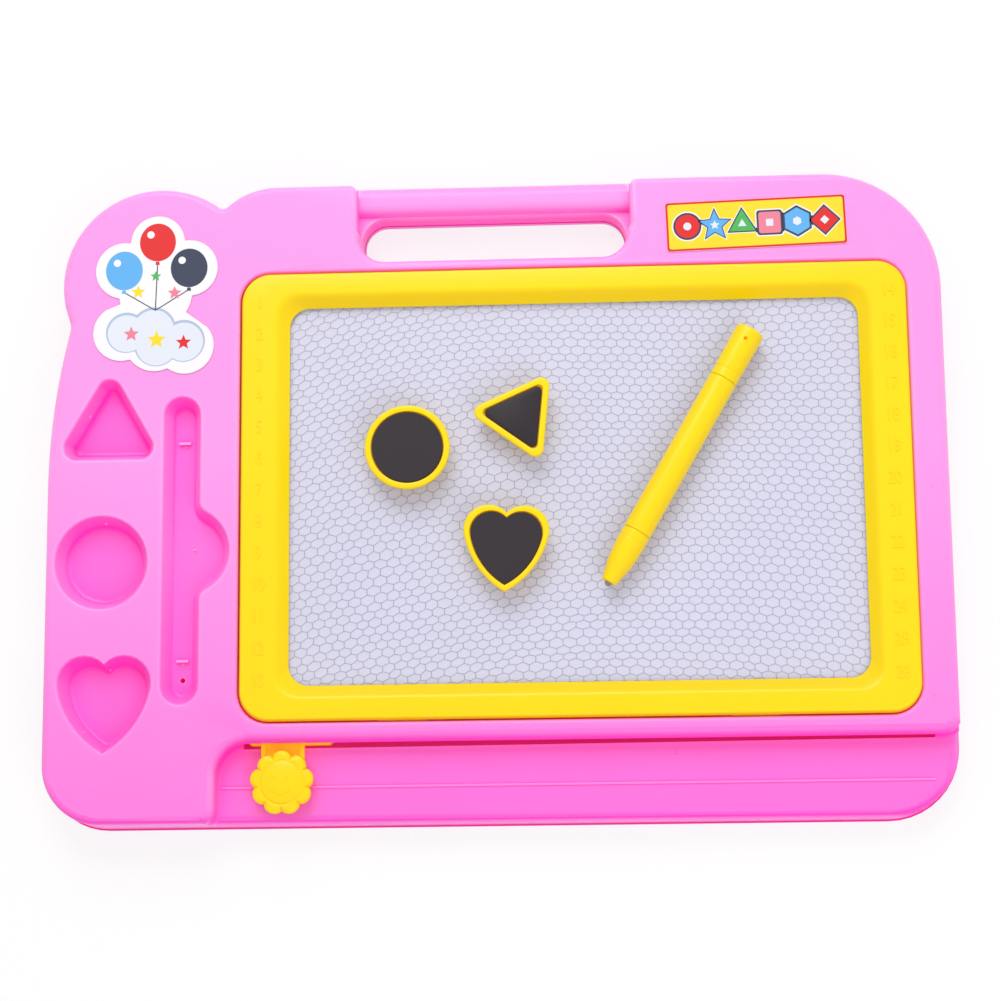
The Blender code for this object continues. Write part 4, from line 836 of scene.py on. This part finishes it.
place = (
    Matrix.Translation((knob.x, knob.y, knob_top - smile_drop))
    @ Matrix.Rotation(math.radians(smile_start), 4, "Z")
    @ Matrix.Translation((smile_reach, 0, 0))
    @ Matrix.Rotation(math.pi / 2, 4, "X")
)
smile = bmesh.ops.create_circle(bm, cap_ends=True, segments=10, radius=smile_wire, matrix=place)
disc = list({face for vert in smile["verts"] for face in vert.link_faces})
bmesh.ops.spin(bm, geom=disc, cent=knob, axis=(0, 0, 1), angle=math.radians(smile_sweep), steps=24)
bmesh.ops.recalc_face_normals(bm, faces=bm.faces)
finished("flower_knob", bm, [yellow], "eraser", ["slider_knob"], smooth=45)


# Pen: a nose, a barrel and an end cap moulded in yellow and pressed together, with a steel-covered magnet
# in the nose and a hole for a string through the cap. It lies on the screen.
def on_frame(along_share, up_share):
    """A place from the frame's middle, in shares of the frame's length and of half its depth."""
    return (
        frame_middle[0] + along_share * 2 * frame_half[0],
        frame_middle[1] + up_share * frame_half[1],
    )


def softened(points, reach):
    """Rounds the corners of a profile with short curves."""
    result = [points[0]]
    for before, corner, after in zip(points, points[1:], points[2:]):
        corner = Vector(corner)
        back = Vector(before) - corner
        on = Vector(after) - corner
        start = corner + back.normalized() * min(reach, back.length / 2.2)
        end = corner + on.normalized() * min(reach, on.length / 2.2)
        for t in (0, 0.33, 0.67, 1):
            result.append(tuple((1 - t) ** 2 * start + 2 * t * (1 - t) * corner + t * t * end))
    result.append(points[-1])
    return result


cap_low, cap_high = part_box("pen_cap")
pen_heading = 59.7
pen_place = (
    Matrix.Translation((*on_frame(0.0439, -0.4393), (cap_low.z + cap_high.z) / 2))
    @ Matrix.Rotation(math.radians(pen_heading), 4, "Z")
    @ Matrix.Rotation(math.pi / 2, 4, "Y")
)
pen_radius = 0.0060
joint_radius = 0.00585
nose_profile = [(0, 0.0022), (0.0016, 0.0022), (0.0018, 0.0017), (0.0029, 0.0017), (0.0034, 0.0023)]
nose_profile += [(0.0040, 0.0055), (0.0051, 0.0102), (0.0056, 0.0145), (0.0059, 0.0190)]
nose_profile += [(pen_radius, 0.0214), (0.00580, 0.0218), (pen_radius, 0.0222), (pen_radius, 0.0254)]
nose_profile += [(joint_radius, 0.0257), (0, 0.0257)]
barrel_profile = [(0, 0.0258), (joint_radius, 0.0258), (pen_radius, 0.0261), (pen_radius, 0.0992)]
barrel_profile += [(joint_radius, 0.0995), (0, 0.0995)]
cap_profile = [(0, 0.0996), (joint_radius, 0.0996), (pen_radius, 0.0999), (pen_radius, 0.1030)]
cap_profile += [(0.00575, 0.1036), (pen_radius, 0.1042), (0.00618, 0.1220), (0.00600, 0.1234)]
cap_profile += [(0.00480, 0.1240), (0, 0.1240)]
tip_profile = [(0, 0), (0.0007, 0.00014), (0.00115, 0.0005), (0.0015, 0.0013), (0.0015, 0.0021), (0, 0.0021)]
polished = moulded("polished_steel", (0.40, 0.38, 0.34), roughness=0.2, coat=0.0)
polished.node_tree.nodes["Principled BSDF"].inputs["Metallic"].default_value = 1.0
hole_radius = 0.0008
hole_place = 0.1185
string_hole = bmesh.new()
across = Matrix.Translation((0, 0, hole_place)) @ Matrix.Rotation(math.pi / 2, 4, "Y")
bmesh.ops.create_cone(
    string_hole,
    cap_ends=True,
    segments=24,
    radius1=hole_radius,
    radius2=hole_radius,
    depth=0.02,
    matrix=across,
)
cap_form = carved(turned(softened(cap_profile, 0.0004), 96), string_hole)
nose_form = turned(softened(nose_profile, 0.0004), 96)
barrel_form = turned(softened(barrel_profile, 0.0003), 96)
tip_form = turned(softened(tip_profile, 0.0001), 48)
for name, bm, material, slot, replaced in (
    ("pen_tapered_nose", nose_form, yellow, "yellow_plastic", "pen_nose"),
    ("pen_round_barrel", barrel_form, yellow, "yellow_plastic", "pen_barrel"),
    ("pen_end_cap", cap_form, yellow, "yellow_plastic", "pen_cap"),
    ("pen_steel_tip", tip_form, polished, "tip_steel", "pen_tip"),
):
    bmesh.ops.transform(bm, matrix=pen_place, verts=bm.verts)
    finished(name, bm, [material], "pen", [replaced])


# Stamps: three tapered yellow cups, each with a shape cut from black flexible magnet glued into its wide
# face. They lie on the screen with the magnets up.
def circle_outline(grow):
    """The round stamp."""
    radius = 0.01785 + grow
    return arc(on_frame(-0.249, 0.188), radius, 0, 360, 96)[:-1]


def triangle_outline(grow):
    """The triangular stamp with its round corners."""
    side = 0.0391
    middle = on_frame(-0.0807, 0.321)
    radius = max(0.0035 + grow, 0.0020)
    reach = 2 * (side / (2 * math.sqrt(3)) + grow - radius)
    points = []
    for angle in (174, 294, 414):
        x = middle[0] + reach * math.cos(math.radians(angle))
        y = middle[1] + reach * math.sin(math.radians(angle))
        points += arc((x, y), radius, angle - 60, angle + 60, 16)
    return points


def heart_outline(grow):
    """The heart stamp: two lobes and two long bowed sides that meet in a point."""
    half = 0.0357 / 2 + grow
    lobe = (half * 0.42, half * 0.40)
    lobe_radius = half * 0.58
    side_end = 12
    way = (math.cos(math.radians(side_end)), -math.sin(math.radians(side_end)))
    tip = (-lobe[0], -half * 1.06 - lobe[1])
    past = lobe_radius - tip[0] * way[0] - tip[1] * way[1]
    extra = (tip[0] ** 2 + tip[1] ** 2 - lobe_radius**2) / (2 * past)
    side = (lobe[0] - extra * way[0], lobe[1] - extra * way[1])
    side_radius = lobe_radius + extra
    low_angle = -math.degrees(math.acos(-side[0] / side_radius))
    notch_angle = 180 - math.degrees(math.acos(lobe[0] / lobe_radius))
    right = arc(side, side_radius, low_angle, -side_end, 16)[:-1]
    right += arc(lobe, lobe_radius, -side_end, notch_angle, 26)
    outline = right + [(-x, y) for x, y in reversed(right)][1:-1]
    turn = Matrix.Rotation(math.radians(-2.5), 2)
    middle = Vector(on_frame(-0.1036, -0.263))
    return [tuple(middle + turn @ Vector(point)) for point in outline]


stamp_low, stamp_high = [corner.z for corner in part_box("circle_stamp_body")]
brim_round = 0.0010
for shape, outline in (("circle", circle_outline), ("triangle", triangle_outline), ("heart", heart_outline)):
    body = f"{shape}_stamp"
    levels = [(stamp_high - 0.0022, -0.0026), (stamp_high - 0.0004, -0.0026), (stamp_high - 0.0001, -0.0025)]
    levels.append((stamp_high, -0.0022))
    for turn in (0, *quarter_turn):
        lift = brim_round * (math.cos(math.radians(turn)) - 1)
        levels.append((stamp_high + lift, -brim_round + brim_round * math.sin(math.radians(turn))))
    levels += [(stamp_low + 0.0006, -0.0021), (stamp_low + 0.0001, -0.0024), (stamp_low, -0.0028)]
    levels += [(stamp_low, -0.0038), (stamp_high - 0.0038, -0.0028)]
    bm = bmesh.new()
    skinned(bm, [[(x, y, z) for x, y in outline(grow)] for z, grow in levels])
    finished(f"{shape}_cup", bm, [yellow], body, [f"{body}_body"])
    levels = [(stamp_high - 0.0019, -0.0030), (stamp_high - 0.0005, -0.0030), (stamp_high - 0.0003, -0.0032)]
    bm = bmesh.new()
    skinned(bm, [[(x, y, z) for x, y in outline(grow)] for z, grow in levels])
    finished(f"{shape}_magnet", bm, [magnet_black], body, [f"{body}_magnet"])

# Corner sticker: die-cut white vinyl on the ear, printed with three balloons over a cloud and a few stars.
# Each ink lies a hundredth of a millimetre or two over the one below it.
inks = [moulded("sticker_vinyl", (0.86, 0.84, 0.86), roughness=0.12, coat=0.0, shine=0.4)]
ink_numbers = {"vinyl": 0}
for name, colour in (
    ("red", (0.72, 0.03, 0.03)),
    ("sky", (0.12, 0.42, 0.80)),
    ("slate", (0.05, 0.06, 0.10)),
    ("rose", (0.80, 0.22, 0.30)),
    ("cloud", (0.42, 0.52, 0.66)),
    ("sun", (0.92, 0.68, 0.03)),
    ("leaf", (0.08, 0.45, 0.10)),
    ("pale", (0.72, 0.76, 0.84)),
):
    ink_numbers[name] = len(inks)
    inks.append(moulded("ink_" + name, colour, roughness=0.12, coat=0.0, shine=0.4))


def star(middle, radius):
    """A five-pointed star."""
    points = []
    for k in range(10):
        reach = radius if k % 2 == 0 else radius * 0.45
        angle = math.radians(90 + 36 * k)
        points.append((middle[0] + reach * math.cos(angle), middle[1] + reach * math.sin(angle)))
    return points


def discs_edge(middle, discs, count):
    """The outer edge of overlapping discs, seen from the middle of them all."""
    points = []
    for k in range(count):
        angle = 2 * math.pi * k / count
        ray = (math.cos(angle), math.sin(angle))
        reaches = []
        for x, y, radius in discs:
            miss = x * ray[1] - y * ray[0]
            if abs(miss) < radius:
                reaches.append(x * ray[0] + y * ray[1] + math.sqrt(radius**2 - miss**2))
        points.append((middle[0] + max(reaches) * ray[0], middle[1] + max(reaches) * ray[1]))
    return points


def printed(bm, outline, height, ink, thick=0.00002):
    """A flat shape of ink of even thickness."""
    levels = (height - thick, height)
    skinned(bm, [[(x, y, z) for x, y in outline] for z in levels], slot=ink_numbers[ink])


sticker_low, sticker_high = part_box("corner_sticker")
ear = (-0.1437, 0.08895)
scale = 0.034
die_discs = [(0.02, 0.66, 0.34), (-0.40, 0.30, 0.36), (0.42, 0.32, 0.36), (0.0, 0.0, 0.46)]
die_discs += [(-0.42, -0.50, 0.36), (0.0, -0.62, 0.38), (0.38, -0.68, 0.36)]
die_cut = discs_edge(ear, [(x * scale, y * scale, radius * scale) for x, y, radius in die_discs], 240)
print_depth = 0.0001
art = sticker_high.z - print_depth
bm = bmesh.new()
skinned(bm, [[(x, y, z) for x, y in die_cut] for z in (sticker_low.z, art)])
cloud_drop = 0.55
cloud_middle = (ear[0], ear[1] - cloud_drop * scale)
cloud = [(-0.36, -0.50, 0.26), (-0.02, -0.46, 0.28), (0.02, -0.66, 0.28), (0.36, -0.62, 0.27)]
cloud = [(x * scale, (y + cloud_drop) * scale, radius * scale) for x, y, radius in cloud]
cloud_rim = 0.0008
cloud_inside = [(x, y - cloud_rim / 2, radius - cloud_rim) for x, y, radius in cloud]
string_half = 0.00022
knot_radius = 0.0011
glint_radius = 0.0016
balloon_width = 0.93
printed(bm, discs_edge(cloud_middle, cloud, 160), art + 0.00002, "cloud")
printed(bm, discs_edge(cloud_middle, cloud_inside, 160), art + 0.00004, "pale")
hand = (ear[0], ear[1] - 0.22 * scale)
balloons = ((0.02, 0.66, 0.245, "red"), (-0.40, 0.30, 0.25, "sky"), (0.42, 0.32, 0.25, "slate"))
for x, y, radius, ink in balloons:
    middle = (ear[0] + x * scale, ear[1] + y * scale)
    knot = (middle[0], middle[1] - (radius + 0.03) * scale)
    side = Vector((hand[1] - knot[1], knot[0] - hand[0])).normalized() * string_half
    string = [(knot[0] - side.x, knot[1] - side.y), (knot[0] + side.x, knot[1] + side.y)]
    string += [(hand[0] + side.x, hand[1] + side.y), (hand[0] - side.x, hand[1] - side.y)]
    printed(bm, string, art + 0.00005, "slate")
    printed(bm, arc(knot, knot_radius, -30, 210, 3), art + 0.00006, ink)
    disc = arc(middle, radius * scale, 0, 360, 60)[:-1]
    balloon = [(middle[0] + balloon_width * (along - middle[0]), up) for along, up in disc]
    printed(bm, balloon, art + 0.00007, ink)
    glint = (middle[0] - 0.09 * scale, middle[1] + 0.10 * scale)
    printed(bm, arc(glint, glint_radius, 0, 360, 24)[:-1], art + 0.00009, "vinyl")
for x, y, radius, ink in (
    (-0.22, 0.02, 0.09, "sun"),
    (0.24, 0.00, 0.09, "rose"),
    (0.00, 0.22, 0.07, "leaf"),
    (-0.30, -0.52, 0.10, "rose"),
    (0.02, -0.60, 0.12, "sun"),
    (0.36, -0.64, 0.10, "red"),
):
    printed(bm, star((ear[0] + x * scale, ear[1] + y * scale), radius * scale), art + 0.00008, ink)
finished("corner_print", bm, inks, "board", ["corner_sticker"], smooth=30)

# Title sticker: a long vinyl label with a red edge round a yellow field and a row of bright shapes, stuck
# on the deck beside the handle.
label_low, label_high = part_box("title_sticker")
label_middle = (label_low + label_high) / 2
label_half = (0.0380, 0.01075)
label_round = 0.001
label_turn = 1.6
print_depth = 0.00014
art = label_high.z - print_depth
bm = bmesh.new()
plate = rounded((0, 0), *label_half, label_round, 6)
skinned(bm, [[(x, y, z) for x, y in plate] for z in (label_low.z, art)])
for inset, lift, ink in ((0.0001, 0.00002, "red"), (0.0010, 0.00004, "sun")):
    field = rounded((0, 0), label_half[0] - inset, label_half[1] - inset, label_round, 6)
    printed(bm, field, art + lift, ink)
shapes = (
    (-0.0290, arc((0, 0), 0.0048, 0, 360, 40)[:-1], "red"),
    (-0.0174, star((0, 0), 0.0062), "sky"),
    (-0.0058, arc((0, 0), 0.0060, 90, 450, 3)[:-1], "leaf"),
    (0.0058, rounded((0, 0), 0.0044, 0.0044, 0.0010, 4), "rose"),
    (0.0174, arc((0, 0), 0.0056, 90, 450, 6)[:-1], "sky"),
    (0.0290, arc((0, 0), 0.0055, 90, 450, 4)[:-1], "red"),
)
for x, outline, own_ink in shapes:
    layers = [(1.36, 0.00008, "vinyl"), (1.24, 0.00010, "slate")]
    layers += [(1.06, 0.00012, own_ink), (0.35, 0.00014, "pale")]
    for grow, lift, ink in layers:
        printed(bm, [(x + along * grow, up * grow) for along, up in outline], art + lift, ink)
turn = Matrix.Rotation(math.radians(label_turn), 4, "Z")
place = Matrix.Translation((label_middle.x, label_middle.y, 0)) @ turn
bmesh.ops.transform(bm, matrix=place, verts=bm.verts)
finished("title_print", bm, inks, "board", ["title_sticker"], smooth=30)
